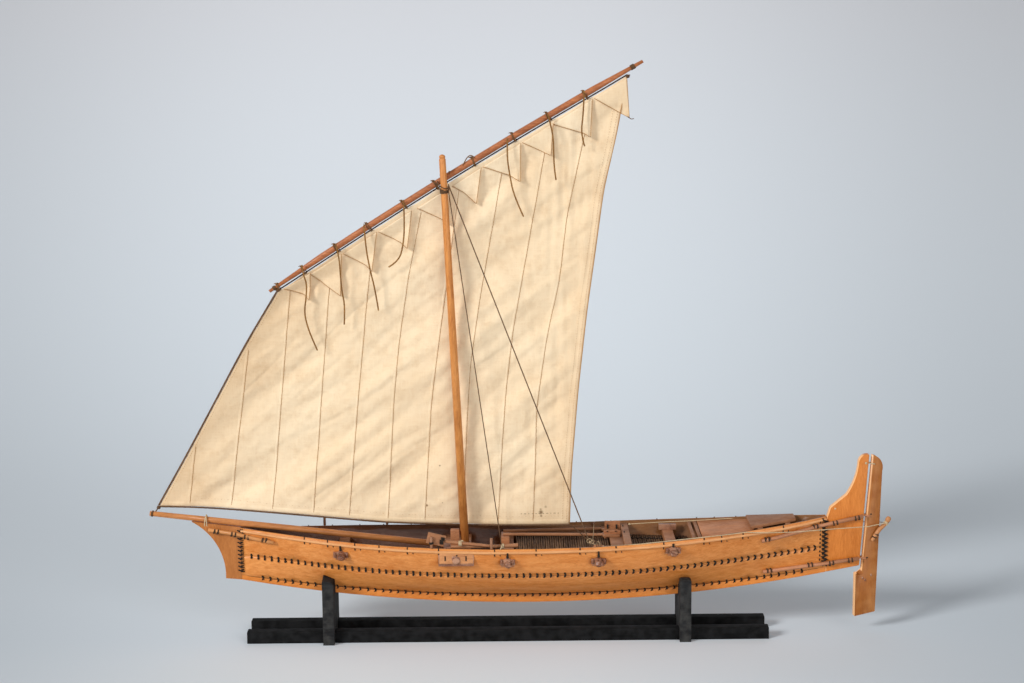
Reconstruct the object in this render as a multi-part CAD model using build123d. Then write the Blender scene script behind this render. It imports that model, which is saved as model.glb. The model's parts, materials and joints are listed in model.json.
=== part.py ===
from build123d import *
import math
import os

# A museum model of a beden, a sewn double-ended sailing boat, on its black wooden stand.
# X runs aft along the keel, Y to starboard and Z up. The origin is on the floor, midway between
# the tip of the tack spar and the knob of the tiller, on the boat's centre-plane. Millimetres.

os.makedirs("parts", exist_ok=True)

# Stand: two square bars on the floor and two cradle boards that straddle them
BAR_LENGTH = 497.0
BAR_SIDE = 11.4
BAR_SPACING = 33.5
BAR_CENTRE_X = -13.2
CRADLE_DEPTH = 59.0
CRADLE_THICKNESS = 10.6
CRADLE_FORE_INSET = 78.4
CRADLE_AFT_INSET = 80.1
CRADLE_FORE_HEIGHT = 66.0
CRADLE_AFT_HEIGHT = 63.5
CRADLE_CHAMFER = 1.6

# Hull lines: each height curve is one arc through a bow, a middle and a stern point (x, z)
BOW_SEAM_X = -267.0
STERN_SEAM_X = 291.0
KEEL_BOTTOM = ((-267.0, 58.0), (8.0, 33.0), (291.0, 60.0))
RABBET = ((-267.0, 62.5), (6.0, 40.8), (291.0, 65.0))
MIDDLE_SEAM = ((-267.0, 82.6), (4.0, 67.8), (291.0, 86.0))
SHEER = ((-267.0, 108.7), (-14.0, 96.9), (291.0, 114.6))
BOARD_THICKNESS = 7.2
PLANK = 2.6
RAIL_HEIGHT = 2.8
RAIL_DROP = 1.2
RAIL_PROUD = 1.6
RAIL_CHAMFER = 0.7

# Hull stations from bow to stern: x, half-breadth at the middle seam, half-breadth at the sheer
STATIONS = [
    (BOW_SEAM_X, 4.2, 4.0),
    (-218.0, 11.2, 18.0),
    (-153.0, 24.2, 35.0),
    (-80.0, 32.6, 44.6),
    (20.0, 35.6, 47.5),
    (117.0, 32.2, 44.8),
    (187.0, 21.8, 34.0),
    (247.0, 11.6, 20.5),
    (STERN_SEAM_X, 4.2, 4.0),
]
# The planks run straight between frames, which stand at the stations and midway between them
FRAMES = sorted([x for x, *rest in STATIONS]
                + [(low[0] + high[0]) / 2 for low, high in zip(STATIONS, STATIONS[1:])])
SEAM_GAP = 0.05
FORM_RISE = 6.0
# Half-width and height of plain blocks that only have to reach past the hull
PAST_HULL_Y = 70.0
PAST_HULL_Z = 200.0

# Beams that pass through the upper strakes: name, x, width along the boat, underside, top
BEAMS = [
    ("beam_bow", -170.0, 10.0, 84.0, 90.5),
    ("beam_mast", -61.0, 26.0, 82.0, 88.4),
    ("beam_middle", -13.0, 12.0, 80.0, 86.4),
    ("beam_aft", 72.0, 12.0, 80.0, 86.4),
    ("beam_stern", 142.0, 10.0, 88.5, 95.0),
]
# A block locks each beam end: two lugs, a round knob between them and a strap up to the rail
BEAM_BLOCK_LENGTH = 14.0
BEAM_BLOCK_HEIGHT = 5.4
BEAM_BLOCK_PROUD = 2.4
BEAM_BLOCK_RISE = 1.6
BEAM_BLOCK_GAP = 0.6
BEAM_END_PROUD = 1.0
KNOB_RADIUS = 4.4
KNOB_TIP_RADIUS = 2.9
KNOB_PROUD = 4.2
KNOB_SHOULDER = 2.0
KNOB_SIDES = 10
STRAP_WIDTH = 2.6
STRAP_PROUD = 1.6
# The mast beam ends in a plate with two slots and a lower knob
MAST_PLATE_LENGTH = 33.0
MAST_PLATE_HEIGHT = 11.0
MAST_PLATE_PROUD = 2.2
PLATE_SLOT_OFFSET = 9.8
PLATE_SLOT_WIDTH = 1.8
PLATE_SLOT_HEIGHT = 5.0

# Mast, yard, tack spar and sail
MAST_HEEL = (-51.6, 0.0, 47.5)
MAST_HEAD = (-69.9, 0.0, 459.8)
MAST_RADIUS = 4.2
MAST_HEAD_RADIUS = 3.1
MAST_SIDES = 24
# The mast head is rounded over: distance below the top, share of the head's radius
MAST_CROWN = ((2.4, 1.0), (0.8, 0.78), (0.0, 0.35))
MAST_STEP_RISE = 4.0
MAST_STEP_LENGTH = 34.0
MAST_STEP_WIDTH = 12.0
YARD_Y = 7.9
YARD_PATH = ((-233.9, 334.7), (-70.0, 438.4), (115.8, 545.6))
YARD_RADIUS = 3.4
YARD_TIP_RADIUS = 1.7
YARD_FULL = (-185.0, 70.0)
YARD_XS = (-233.9, -185.0, -130.0, -70.0, 0.0, 70.0, 115.8)
YARD_SIDES = 16
SPAR_TIP = (-353.2, 0.0, 123.2)
SPAR_MIDDLE = (-270.0, 0.0, 113.2)
SPAR_HEEL = (-75.0, -6.0, 92.0)
SPAR_RADIUS = 3.0
SPAR_TIP_RADIUS = 2.4
SAIL_Y = 7.9
SAIL_THICKNESS = 0.8
SAIL_TACK = (-345.0, 128.4)
SAIL_THROAT = (-225.5, 335.0)
SAIL_PEAK = (101.5, 532.5)
SAIL_LEECH_MIDDLE = (62.5, 310.0)
SAIL_CLEW = (46.8, 106.6)
SAIL_FOOT_MIDDLE = (-140.0, 111.6)

# Floor and seats. Mats: name, fore end, aft end. Heights follow the beams they lie on. Each mat is
# a row of sticks across the boat, a pitch apart, tied side by side
MAT_THICKNESS = 1.2
STICK_PITCH = 2.2
STICK_FLAT = 1.2
STICK_GROOVE = 0.7
MATS = [
    ("floor_mat_fore", -5.0, 84.6),
    ("floor_mat_aft", 101.4, 161.0),
]
LOW_THWART = (85.0, 101.0, 91.2, 93.2)
HIGH_THWART = (97.0, 104.0, 95.2, 98.2)
DECK_START_X = 171.0
DECK_LENGTH = 50.0
DECK_DROP = 1.6
DECK_THICKNESS = 2.0
# Two deck beams stand before the deck: how far each one's fore face is from the deck's start
DECK_BEAM_SETBACKS = (9.6, 4.0)
DECK_BEAM_WIDTH = 3.2
DECK_BEAM_DEPTH = 4.0
# The aft seat laps over the deck's aft end and lies on two bearers
SEAT_LAP = 4.0
SEAT_LENGTH = 44.0
SEAT_SIDE_GAP = 7.0
SEAT_THICKNESS = 2.8
SEAT_LIFT = 0.6
SEAT_BEARER_WIDTH = 5.0
SEAT_BEARER_GAP = 2.5
SEAT_BEARER_INSET = 10.5

# Oars: name, blade end, loom start, loom end (all x, y, z), blade flat or on edge
OAR_RADIUS = 1.5
CORD_SIDES = 10
OAR_BLADE = (17.0, 10.4, 1.6)
OARS = [
    ("oar_port", (-88.0, -40.7, 108.3), (-71.5, -40.7, 104.4), (-23.0, -41.6, 98.9), "edge"),
    ("oar_starboard_inner", (95.0, 13.0, 94.1), (78.5, 13.0, 94.4), (-17.0, 13.0, 95.8), "flat"),
    ("oar_starboard_outer", (95.0, 35.0, 94.1), (78.5, 35.0, 94.4), (-17.0, 24.5, 95.8), "flat"),
]
POLE_START = (-66.0, -38.4, 98.3)
POLE_END = (-20.0, -38.4, 98.5)
POLE_SPOON_END = (-3.0, -37.8, 98.9)
POLE_SPOON_RADIUS = 2.2
CRUTCH = (-19.0, -11.0, 8.0, 28.0, 94.2)
CHOCK = (-67.2, -58.8, -4.2, 4.2, 104.5)
STERN_CHOCK = (133.5, 150.5, 25.5, 30.5, 100.5)

# Thole pins: x, side (-1 is port), height above the rail
PIN_RADIUS = 1.3
PIN_GAP = 0.15
PINS = [
    (-84.0, -1, 11.0),
    (-28.0, -1, 10.6),
    (-189.5, 1, 8.0),
    (-130.0, 1, 7.0),
]

# Rods lashed along the ends: name, points along them (x, z)
ROD_RADIUS = 1.8
ROD_GAP = 0.1
ROD_BEND_GAP = 0.7
RODS = [
    ("rods_bow", [(-297.5, 108.0), (-268.0, 102.7), (-251.0, 99.8), (-234.5, 97.2)]),
    ("rods_stern_upper", [(227.0, 96.8), (246.0, 100.2), (266.0, 103.8), (284.0, 107.0), (325.6, 115.2)]),
    ("rods_stern_lower", [(230.5, 62.3), (256.0, 65.2), (284.0, 68.6), (322.2, 73.5)]),
]

# Standing and running lines that are set tight: name, upper end, lower end
LINE_RADIUS = 0.7
LINES = [
    ("halyard_fore", (-65.0, -3.9, 433.0), (-18.5, -0.5, 86.5)),
    ("halyard_aft", (-64.6, -4.3, 435.0), (72.0, -40.5, 99.4)),
    ("sheet_line", (47.6, 7.9, 106.2), (66.6, 7.9, 88.2)),
]

# Yard ties and head rope
HEAD_ROPE_RADIUS = 1.0
TIE_RADIUS = 0.8
TIE_CLEARANCE = 0.1
TIE_XS = (-226.0, -202.0, -170.6, -139.9, -106.7, -77.2, -41.7, -4.1, 28.2, 62.4, 99.0)

# Steering: the rudder hangs on a raked line just aft of the fin
HINGE_LOW = (324.4, 0.0, 68.0)
HINGE_HIGH = (332.3, 0.0, 174.3)
HINGE_GAP = 1.0
RUDDER_REST_ANGLE = 10.0
RUDDER_THICKNESS = 6.0
# Tiller arm against the port face, before the rudder is turned: x, distance off the face, z, radius
TILLER = [
    (334.0, -2.0, 90.6, 1.4),
    (337.0, -2.3, 95.6, 2.0),
    (341.4, -2.4, 101.8, 2.2),
    (346.6, -2.4, 106.0, 1.8),
    (348.2, -2.4, 108.0, 1.5),
    (348.9, -2.4, 109.2, 2.5),
    (350.0, -2.4, 111.6, 2.6),
    (350.6, -2.4, 113.4, 1.4),
]
LACING_HEIGHTS = (165.0, 116.0, 75.0)
LACING_LENGTH = 5.0
LACING_RADIUS = 0.75


def arc_height(curve, x):
    """Height at x of the arc through the curve's three points."""
    (xa, za), (xb, zb), (xc, zc) = curve
    d = 2 * (xa * (zb - zc) + xb * (zc - za) + xc * (za - zb))
    a2, b2, c2 = xa ** 2 + za ** 2, xb ** 2 + zb ** 2, xc ** 2 + zc ** 2
    cx = (a2 * (zb - zc) + b2 * (zc - za) + c2 * (za - zb)) / d
    cz = (a2 * (xc - xb) + b2 * (xa - xc) + c2 * (xb - xa)) / d
    radius = math.hypot(xa - cx, za - cz)
    side = -1 if cz > zb else 1
    return cz + side * math.sqrt(radius ** 2 - (x - cx) ** 2)


def from_stations(x, column):
    """Value of one column of the station table at x, on a smooth curve through the stations."""
    def slope(i):
        low, high = STATIONS[max(i - 1, 0)], STATIONS[min(i + 1, len(STATIONS) - 1)]
        return (high[column] - low[column]) / (high[0] - low[0])

    for i, (low, high) in enumerate(zip(STATIONS, STATIONS[1:])):
        if low[0] <= x <= high[0]:
            span = high[0] - low[0]
            t = (x - low[0]) / span
            return ((2 * t ** 3 - 3 * t ** 2 + 1) * low[column] + (3 * t ** 2 - 2 * t ** 3) * high[column]
                    + span * (t ** 3 - 2 * t ** 2 + t) * slope(i) + span * (t ** 3 - t ** 2) * slope(i + 1))
    return STATIONS[0][column] if x < STATIONS[0][0] else STATIONS[-1][column]


def section_circle(x):
    """Centre and radius of the arc that the planking follows at x, in the Y-Z plane."""
    y0, z0 = BOARD_THICKNESS / 2 + SEAM_GAP, arc_height(RABBET, x) + SEAM_GAP
    y1, z1 = from_stations(x, 1), arc_height(MIDDLE_SEAM, x)
    y2, z2 = from_stations(x, 2), arc_height(SHEER, x)
    d = 2 * (y0 * (z1 - z2) + y1 * (z2 - z0) + y2 * (z0 - z1))
    s0, s1, s2 = y0 ** 2 + z0 ** 2, y1 ** 2 + z1 ** 2, y2 ** 2 + z2 ** 2
    cy = (s0 * (z1 - z2) + s1 * (z2 - z0) + s2 * (z0 - z1)) / d
    cz = (s0 * (y2 - y1) + s1 * (y0 - y2) + s2 * (y1 - y0)) / d
    return cy, cz, math.hypot(y0 - cy, z0 - cz)


def hull_y(x, z):
    """Half-breadth of the planking's outer face at x and height z."""
    cy, cz, radius = section_circle(x)
    return cy + math.sqrt(radius ** 2 - (z - cz) ** 2)


def skin_point(x, z, depth):
    """The point that lies depth inside the outer face, square to it, from height z on that face."""
    cy, cz, radius = section_circle(x)
    share = (radius - depth) / radius
    y = max(cy + (hull_y(x, z) - cy) * share, 0.8)
    return Vector(x, y, cz + (z - cz) * share)


def skin_arc(x, low_z, high_z, depth):
    """Three points on the arc at this depth, from low_z to high_z."""
    return [skin_point(x, z, depth) for z in (low_z, (low_z + high_z) / 2, high_z)]


def plank_section(x, low_z, high_z):
    outside = skin_arc(x, low_z, high_z, 0.0)
    inside = skin_arc(x, low_z, high_z, PLANK)
    return Face(Wire([
        ThreePointArc(*outside),
        Line(outside[2], inside[2]),
        ThreePointArc(*reversed(inside)),
        Line(inside[0], outside[0]),
    ]))


def plank(low_curve, high_curve, low_gap, high_gap):
    """One port plank lofted along the hull between two height curves."""
    sections = []
    for x in FRAMES:
        low_z = arc_height(low_curve, x) + low_gap
        high_z = arc_height(high_curve, x) - high_gap
        sections.append(plank_section(x, low_z, high_z))
    return loft(sections, ruled=True).mirror(Plane.XZ)


def rail_section(x):
    """A chamfered bead against the planking, just below its top edge."""
    high_z = arc_height(SHEER, x) - RAIL_DROP
    low_z = high_z - RAIL_HEIGHT
    return Face(Wire.make_polygon([
        skin_point(x, low_z, -SEAM_GAP),
        skin_point(x, high_z, -SEAM_GAP),
        skin_point(x, high_z - RAIL_CHAMFER, -RAIL_PROUD),
        skin_point(x, low_z + RAIL_CHAMFER, -RAIL_PROUD),
    ]))


def hull_form(depth):
    """The space inside the hull, up to FORM_RISE above the sheer, as one closed solid."""
    sections = []
    for x in FRAMES:
        right = skin_arc(x, arc_height(RABBET, x) + SEAM_GAP, arc_height(SHEER, x), depth)
        right.append(right[2] + Vector(0, 0, FORM_RISE))
        left = [Vector(v.X, -v.Y, v.Z) for v in right]
        sections.append(Face(Wire([
            ThreePointArc(*right[:3]),
            Line(right[2], right[3]),
            Line(right[3], left[3]),
            Line(left[3], left[2]),
            ThreePointArc(*reversed(left[:3])),
            Line(left[0], right[0]),
        ])))
    return loft(sections, ruled=True)


def side_slab(outline_edges, low_y, high_y):
    """A slab whose outline is drawn in the X-Z plane and which runs from low_y to high_y."""
    face = Face(Wire(outline_edges))
    slab = extrude(face, amount=high_y - low_y, dir=(0, 1, 0))
    return slab.moved(Location((0, low_y, 0)))


def at(x, z, y=0.0):
    return Vector(x, y, z)


def band(low_curve, high_curve, lift_low=0.0, lift_high=0.0, half=PAST_HULL_Y):
    """The slab between two height curves, wide enough to hold the hull."""
    xa, xc = low_curve[0][0], low_curve[2][0]
    xb = low_curve[1][0]
    low = [at(x, arc_height(low_curve, x) + lift_low) for x in (xa, xb, xc)]
    high = [at(x, arc_height(high_curve, x) + lift_high) for x in (xa, xb, xc)]
    edges = [
        ThreePointArc(low[0], low[1], low[2]),
        Line(low[2], high[2]),
        ThreePointArc(high[2], high[1], high[0]),
        Line(high[0], low[0]),
    ]
    return side_slab(edges, -half, half)


def slice_of_hull(x0, x1, z0=0.0, z1=PAST_HULL_Z):
    """The inside of the hull from x0 to x1 and from z0 to z1."""
    return block(x0, x1, -PAST_HULL_Y, PAST_HULL_Y, z0, z1) & inner


def block(x0, x1, y0, y1, z0, z1):
    """A box given by its two corners."""
    size = (x1 - x0, y1 - y0, z1 - z0)
    return Pos((x0 + x1) / 2, (y0 + y1) / 2, (z0 + z1) / 2) * Box(*size)


def lofted_rod(points, sections):
    """A rod that runs straight between sections set square to it, with their flats in line."""
    points = [Vector(*p) for p in points]
    whole_run = (points[-1] - points[0]).normalized()
    athwart = Vector(0, 1, 0) if abs(whole_run.Y) < 0.9 else Vector(1, 0, 0)
    faces = []
    for i, (point, section) in enumerate(zip(points, sections)):
        before = points[max(i - 1, 0)]
        after = points[min(i + 1, len(points) - 1)]
        faces.append(Plane(origin=point, x_dir=athwart, z_dir=after - before) * section)
    return loft(faces, ruled=True)


def spar(points, radii):
    """A turned spar, round all along."""
    return lofted_rod(points, [Circle(radius) for radius in radii])


def cord(points, radii):
    """A thin cord or whittled stick, with CORD_SIDES flats."""
    return lofted_rod(points, [RegularPolygon(radius, CORD_SIDES) for radius in radii])


def save(shape, name):
    """Writes one node as its own STEP file."""
    solids = shape.solids()
    whole = solids[0] if len(solids) == 1 else Compound(children=list(solids))
    export_step(whole, "parts/" + name + ".step")
    print(name, len(solids), round(sum(s.volume for s in solids), 1))


def both_sides(port):
    """The port piece and its mirror image."""
    return [("port", port), ("starboard", port.mirror(Plane.XZ))]


# Keel, stem board and stern fin
keel = band(KEEL_BOTTOM, RABBET, 0.0, 0.0, BOARD_THICKNESS / 2)
save(keel, "keel")

STEM_TIP = (-313.5, 115.4)
STEM_HOLLOW = (-289.6, 91.5)
STEM_FOOT = (-282.5, 59.4)
STEM_TOP_AFT = (BOW_SEAM_X, 109.4)
stem = side_slab([
    ThreePointArc(at(*STEM_TIP), at(*STEM_HOLLOW), at(*STEM_FOOT)),
    Line(at(*STEM_FOOT), at(*KEEL_BOTTOM[0])),
    Line(at(*KEEL_BOTTOM[0]), at(*STEM_TOP_AFT)),
    Line(at(*STEM_TOP_AFT), at(*STEM_TIP)),
], -BOARD_THICKNESS / 2, BOARD_THICKNESS / 2)

FIN_FOOT_AFT_Z = 66.0
FIN_TOP_Z = 174.6
FIN_HEAD_GAP = 0.6
hinge_run = Vector(*HINGE_HIGH) - Vector(*HINGE_LOW)


def hinge_x(z):
    """Where the hinge line stands at height z."""
    return HINGE_LOW[0] + (z - HINGE_LOW[2]) * hinge_run.X / hinge_run.Z


fin_points = {
    "seam_foot": (STERN_SEAM_X, KEEL_BOTTOM[2][1]),
    "foot": (hinge_x(FIN_FOOT_AFT_Z) - HINGE_GAP, FIN_FOOT_AFT_Z),
    "head": (hinge_x(FIN_TOP_Z) - HINGE_GAP - FIN_HEAD_GAP, FIN_TOP_Z),
    "crown": (324.2, 173.4),
    "brow": (320.3, 166.0),
    "nape": (317.0, 150.5),
    "hollow": (309.6, 135.8),
    "shoulder": (294.6, 123.4),
    "seam_head": (STERN_SEAM_X, 112.0),
}
fp = {name: at(*xz) for name, xz in fin_points.items()}
fin = side_slab([
    Line(fp["seam_foot"], fp["foot"]),
    Line(fp["foot"], fp["head"]),
    ThreePointArc(fp["head"], fp["crown"], fp["brow"]),
    ThreePointArc(fp["brow"], fp["nape"], fp["hollow"]),
    Line(fp["hollow"], fp["shoulder"]),
    Line(fp["shoulder"], fp["seam_head"]),
    Line(fp["seam_head"], fp["seam_foot"]),
], -BOARD_THICKNESS / 2, BOARD_THICKNESS / 2)
save(fin, "stern_fin")

# Planking and rails
outer = hull_form(-SEAM_GAP)
inner = hull_form(PLANK + SEAM_GAP)


def planking_y(x, z):
    """Half-breadth of the finished planking at x and height z, measured on the hull form."""
    return (outer & Edge.make_line((x, 0, z), (x, PAST_HULL_Y, z))).bounding_box().max.Y


lower = plank(RABBET, MIDDLE_SEAM, SEAM_GAP, SEAM_GAP / 2)
upper = plank(MIDDLE_SEAM, SHEER, SEAM_GAP / 2, 0.0)
rail = loft([rail_section(x) for x in FRAMES], ruled=True).mirror(Plane.XZ)

beams = {}
for name, x, width, low_z, high_z in BEAMS:
    reach = hull_y(x, high_z) + BEAM_END_PROUD
    beam = block(x - width / 2, x + width / 2, -reach, reach, low_z, high_z)
    beams[name] = beam
    upper = upper - beam

# Mast and its step
step_low = arc_height(RABBET, MAST_HEEL[0])
step = block(MAST_HEEL[0] - MAST_STEP_LENGTH / 2, MAST_HEEL[0] + MAST_STEP_LENGTH / 2,
             -MAST_STEP_WIDTH / 2, MAST_STEP_WIDTH / 2, step_low, MAST_HEEL[2] + MAST_STEP_RISE)
step = step & inner
mast_run = (Vector(*MAST_HEAD) - Vector(*MAST_HEEL)).normalized()
mast_points = [Vector(*MAST_HEEL)] + [Vector(*MAST_HEAD) - mast_run * below for below, share in MAST_CROWN]
mast_radii = [MAST_RADIUS] + [MAST_HEAD_RADIUS * share for below, share in MAST_CROWN]
mast = lofted_rod(mast_points, [RegularPolygon(radius, MAST_SIDES) for radius in mast_radii])
step = step - mast
beams["beam_mast"] = beams["beam_mast"] - mast

for side, piece in both_sides(lower):
    save(piece, "strake_lower_" + side)
for side, piece in both_sides(upper):
    save(piece, "strake_upper_" + side)
for side, piece in both_sides(rail):
    save(piece, "rail_" + side)
for name, beam in beams.items():
    save(beam, name)



def athwart_block(x, z, length, height, reach):
    """A block across the whole boat, centred at x and z, out to the reach on each side."""
    return block(x - length / 2, x + length / 2, -reach, reach, z - height / 2, z + height / 2)


blocks = []
for name, x, width, low_z, high_z in BEAMS:
    centre_z = (low_z + high_z) / 2 + BEAM_BLOCK_RISE
    skin = hull_y(x, centre_z)
    rail_foot = arc_height(SHEER, x) - RAIL_DROP - RAIL_HEIGHT - BEAM_BLOCK_GAP
    if name == "beam_mast":
        top = min(centre_z + MAST_PLATE_HEIGHT / 2, rail_foot)
        low = centre_z - MAST_PLATE_HEIGHT / 2
        cleat = athwart_block(x, (low + top) / 2, MAST_PLATE_LENGTH, top - low, skin + MAST_PLATE_PROUD)
        for offset in (-PLATE_SLOT_OFFSET, PLATE_SLOT_OFFSET):
            cleat = cleat - athwart_block(x + offset, centre_z, PLATE_SLOT_WIDTH, PLATE_SLOT_HEIGHT, PAST_HULL_Y)
    else:
        cleat = athwart_block(x, centre_z, BEAM_BLOCK_LENGTH, BEAM_BLOCK_HEIGHT, skin + BEAM_BLOCK_PROUD)
        cleat = cleat + athwart_block(x, (centre_z + rail_foot) / 2, STRAP_WIDTH, rail_foot - centre_z,
                                      skin + STRAP_PROUD)
    knob_reaches = (-skin - KNOB_PROUD, -skin - KNOB_SHOULDER, skin + KNOB_SHOULDER, skin + KNOB_PROUD)
    knob_radii = (KNOB_TIP_RADIUS, KNOB_RADIUS, KNOB_RADIUS, KNOB_TIP_RADIUS)
    cleat = cleat + lofted_rod([(x, y, centre_z) for y in knob_reaches],
                               [RegularPolygon(radius, KNOB_SIDES) for radius in knob_radii])
    blocks.append(cleat - outer - beams[name])
save(Compound(children=[s for b in blocks for s in b.solids()]), "beam_end_blocks")
save(step, "mast_step")
save(mast, "mast")

# Yard and its ties


def yard_point(x):
    return Vector(x, YARD_Y, arc_height(YARD_PATH, x))


def yard_radius(x):
    """The yard is full in its middle and tapers to both tips."""
    low, high = YARD_FULL
    if x < low:
        share = (low - x) / (low - YARD_PATH[0][0])
    else:
        share = max(0.0, (x - high) / (YARD_PATH[2][0] - high))
    return YARD_RADIUS + share * (YARD_TIP_RADIUS - YARD_RADIUS)


yard = lofted_rod([yard_point(x) for x in YARD_XS],
                  [RegularPolygon(yard_radius(x), YARD_SIDES) for x in YARD_XS])
save(yard, "yard")

# Tack spar, lying in a groove across the top of the stem
tack_spar = spar([SPAR_TIP, SPAR_MIDDLE, SPAR_HEEL], [SPAR_TIP_RADIUS, SPAR_RADIUS, SPAR_RADIUS])
stem = stem - tack_spar
save(stem, "stem")
save(tack_spar, "tack_spar")

# Sail
tack, throat, peak, clew = (at(*xz) for xz in (SAIL_TACK, SAIL_THROAT, SAIL_PEAK, SAIL_CLEW))
sail = side_slab([
    Line(tack, throat),
    Line(throat, peak),
    ThreePointArc(peak, at(*SAIL_LEECH_MIDDLE), clew),
    ThreePointArc(clew, at(*SAIL_FOOT_MIDDLE), tack),
], SAIL_Y - SAIL_THICKNESS / 2, SAIL_Y + SAIL_THICKNESS / 2)
save(sail, "sail")

# Floor mats, thwarts, stern deck and aft seat, each trimmed to the inside of the planking
mat_low = BEAMS[2][4]
mat_high = mat_low + MAT_THICKNESS
for name, x0, x1 in MATS:
    count = round((x1 - x0) / STICK_PITCH)
    pitch = (x1 - x0) / count
    outline = [(x0, mat_low)]
    for i in range(count):
        middle = x0 + (i + 0.5) * pitch
        outline += [(middle - pitch / 2, mat_high - STICK_GROOVE), (middle - STICK_FLAT / 2, mat_high),
                    (middle + STICK_FLAT / 2, mat_high)]
    outline += [(x1, mat_high - STICK_GROOVE), (x1, mat_low)]
    sides = [Line(at(*a), at(*b)) for a, b in zip(outline, outline[1:] + outline[:1])]
    save(side_slab(sides, -PAST_HULL_Y, PAST_HULL_Y) & slice_of_hull(x0, x1), name)
for name, (x0, x1, z0, z1) in (("thwart_low", LOW_THWART), ("thwart_high", HIGH_THWART)):
    save(slice_of_hull(x0, x1, z0, z1), name)
deck_top = band(SHEER, SHEER, -DECK_DROP - DECK_THICKNESS, -DECK_DROP)
deck_end_x = DECK_START_X + DECK_LENGTH
deck = deck_top & slice_of_hull(DECK_START_X, deck_end_x)
save(deck, "stern_deck")
carling_band = band(SHEER, SHEER, -DECK_DROP - DECK_BEAM_DEPTH, -DECK_DROP)
carlings = []
for setback in DECK_BEAM_SETBACKS:
    x = DECK_START_X - setback
    carlings += (carling_band & slice_of_hull(x, x + DECK_BEAM_WIDTH)).solids()
save(Compound(children=carlings), "deck_beams")
seat_x0 = deck_end_x - SEAT_LAP
seat_x1 = seat_x0 + SEAT_LENGTH
seat_outline = [(x, side * (from_stations(x, 2) - SEAT_SIDE_GAP))
                for x, side in ((seat_x0, -1), (seat_x1, -1), (seat_x1, 1), (seat_x0, 1))]
seat = extrude(make_face(Polyline(*seat_outline, close=True)), amount=PAST_HULL_Z)
seat = seat & band(SHEER, SHEER, SEAT_LIFT, SEAT_LIFT + SEAT_THICKNESS)
save(seat, "aft_seat")
bearer_band = band(SHEER, SHEER, -DECK_BEAM_DEPTH, SEAT_LIFT)
bearers = []
for x in (deck_end_x + SEAT_BEARER_GAP, seat_x1 - SEAT_BEARER_INSET):
    bearers += (bearer_band & slice_of_hull(x, x + SEAT_BEARER_WIDTH)).solids()
save(Compound(children=bearers), "seat_bearers")

# Oars, pole, crutch and the chock before the mast
for name, tip, start, end, lie in OARS:
    run = (Vector(*start) - Vector(*tip)).normalized()
    across = Vector(0, 1, 0) if lie == "flat" else run.cross(Vector(0, 1, 0))
    length = (Vector(*start) - Vector(*tip)).length
    plane = Plane(origin=(Vector(*start) + Vector(*tip)) * 0.5, x_dir=run, z_dir=run.cross(across))
    blade_solid = plane * Box(length, OAR_BLADE[1], OAR_BLADE[2])
    save(blade_solid + spar([start, end], [OAR_RADIUS] * 2), name)
pole = cord([POLE_START, POLE_END, POLE_SPOON_END], [OAR_RADIUS, OAR_RADIUS, POLE_SPOON_RADIUS])
save(pole, "pole_port")
crutch = block(*CRUTCH[:4], BEAMS[2][4], CRUTCH[4])
save(crutch, "oar_crutch")
chock = block(*CHOCK[:4], BEAMS[1][4], CHOCK[4]) - mast - tack_spar
save(chock, "mast_chock")
save(block(*STERN_CHOCK[:4], BEAMS[4][4], STERN_CHOCK[4]), "stern_chock")

# Thole pins stand on the rails
pins = []
for x, side, height in PINS:
    edges = [skin_point(x, arc_height(SHEER, x), depth) for depth in (0.0, PLANK)]
    foot = max(edge.Z for edge in edges) + PIN_GAP
    y = side * (edges[0].Y + edges[1].Y) / 2
    pins.append(cord([(x, y, foot), (x, y, foot + height)], [PIN_RADIUS] * 2))
save(Compound(children=pins), "thole_pins")

# Rods along bow and stern, both sides
for name, points in RODS:
    pair = []
    for side in (-1, 1):
        route = []
        for x, z in points:
            on_board = x < BOW_SEAM_X or x > STERN_SEAM_X
            beside = BOARD_THICKNESS / 2 if on_board else planking_y(x, z) + ROD_BEND_GAP
            route.append((x, side * (beside + ROD_RADIUS + ROD_GAP), z))
        pair += cord(route, [ROD_RADIUS] * len(route)).solids()
    save(Compound(children=pair), name)

# Tight lines
for name, high, low in LINES:
    save(cord([high, low], [LINE_RADIUS] * 2), name)

# Head rope along the sail's head, and the ties that hold it under the yard
head_run = (peak - throat).normalized()
head_up = Vector(-head_run.Z, 0, head_run.X)
rope_off = head_up * (HEAD_ROPE_RADIUS + SEAM_GAP)
shift_y = Vector(0, YARD_Y, 0)
rope_ends = [throat + rope_off + shift_y, peak + rope_off + shift_y]
rope = cord(rope_ends, [HEAD_ROPE_RADIUS] * 2)
save(rope, "head_rope")
ties = []
for x in TIE_XS:
    centre = Vector(x, YARD_Y, arc_height(YARD_PATH, x))
    slope = (arc_height(YARD_PATH, x + 1) - arc_height(YARD_PATH, x - 1)) / 2
    run = Vector(1, 0, slope).normalized()
    radius = yard_radius(x) + TIE_CLEARANCE + TIE_RADIUS
    plane = Plane(origin=centre, z_dir=run)
    eye = RegularPolygon(radius + TIE_RADIUS, 8) - RegularPolygon(radius - TIE_RADIUS, 8, major_radius=False)
    ring = plane * extrude(eye, amount=TIE_RADIUS, both=True)
    drop_from = centre - head_up * radius
    to_rope = (drop_from - rope_ends[0]).dot(head_up) - HEAD_ROPE_RADIUS
    leg_plane = Plane(origin=drop_from, x_dir=run, z_dir=-head_up)
    leg = leg_plane * extrude(RegularPolygon(TIE_RADIUS, 6), amount=to_rope - TIE_CLEARANCE)
    ties.append((ring + leg - rope - sail).solids().sort_by(SortBy.VOLUME)[-1])
save(Compound(children=ties), "yard_ties")

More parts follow.
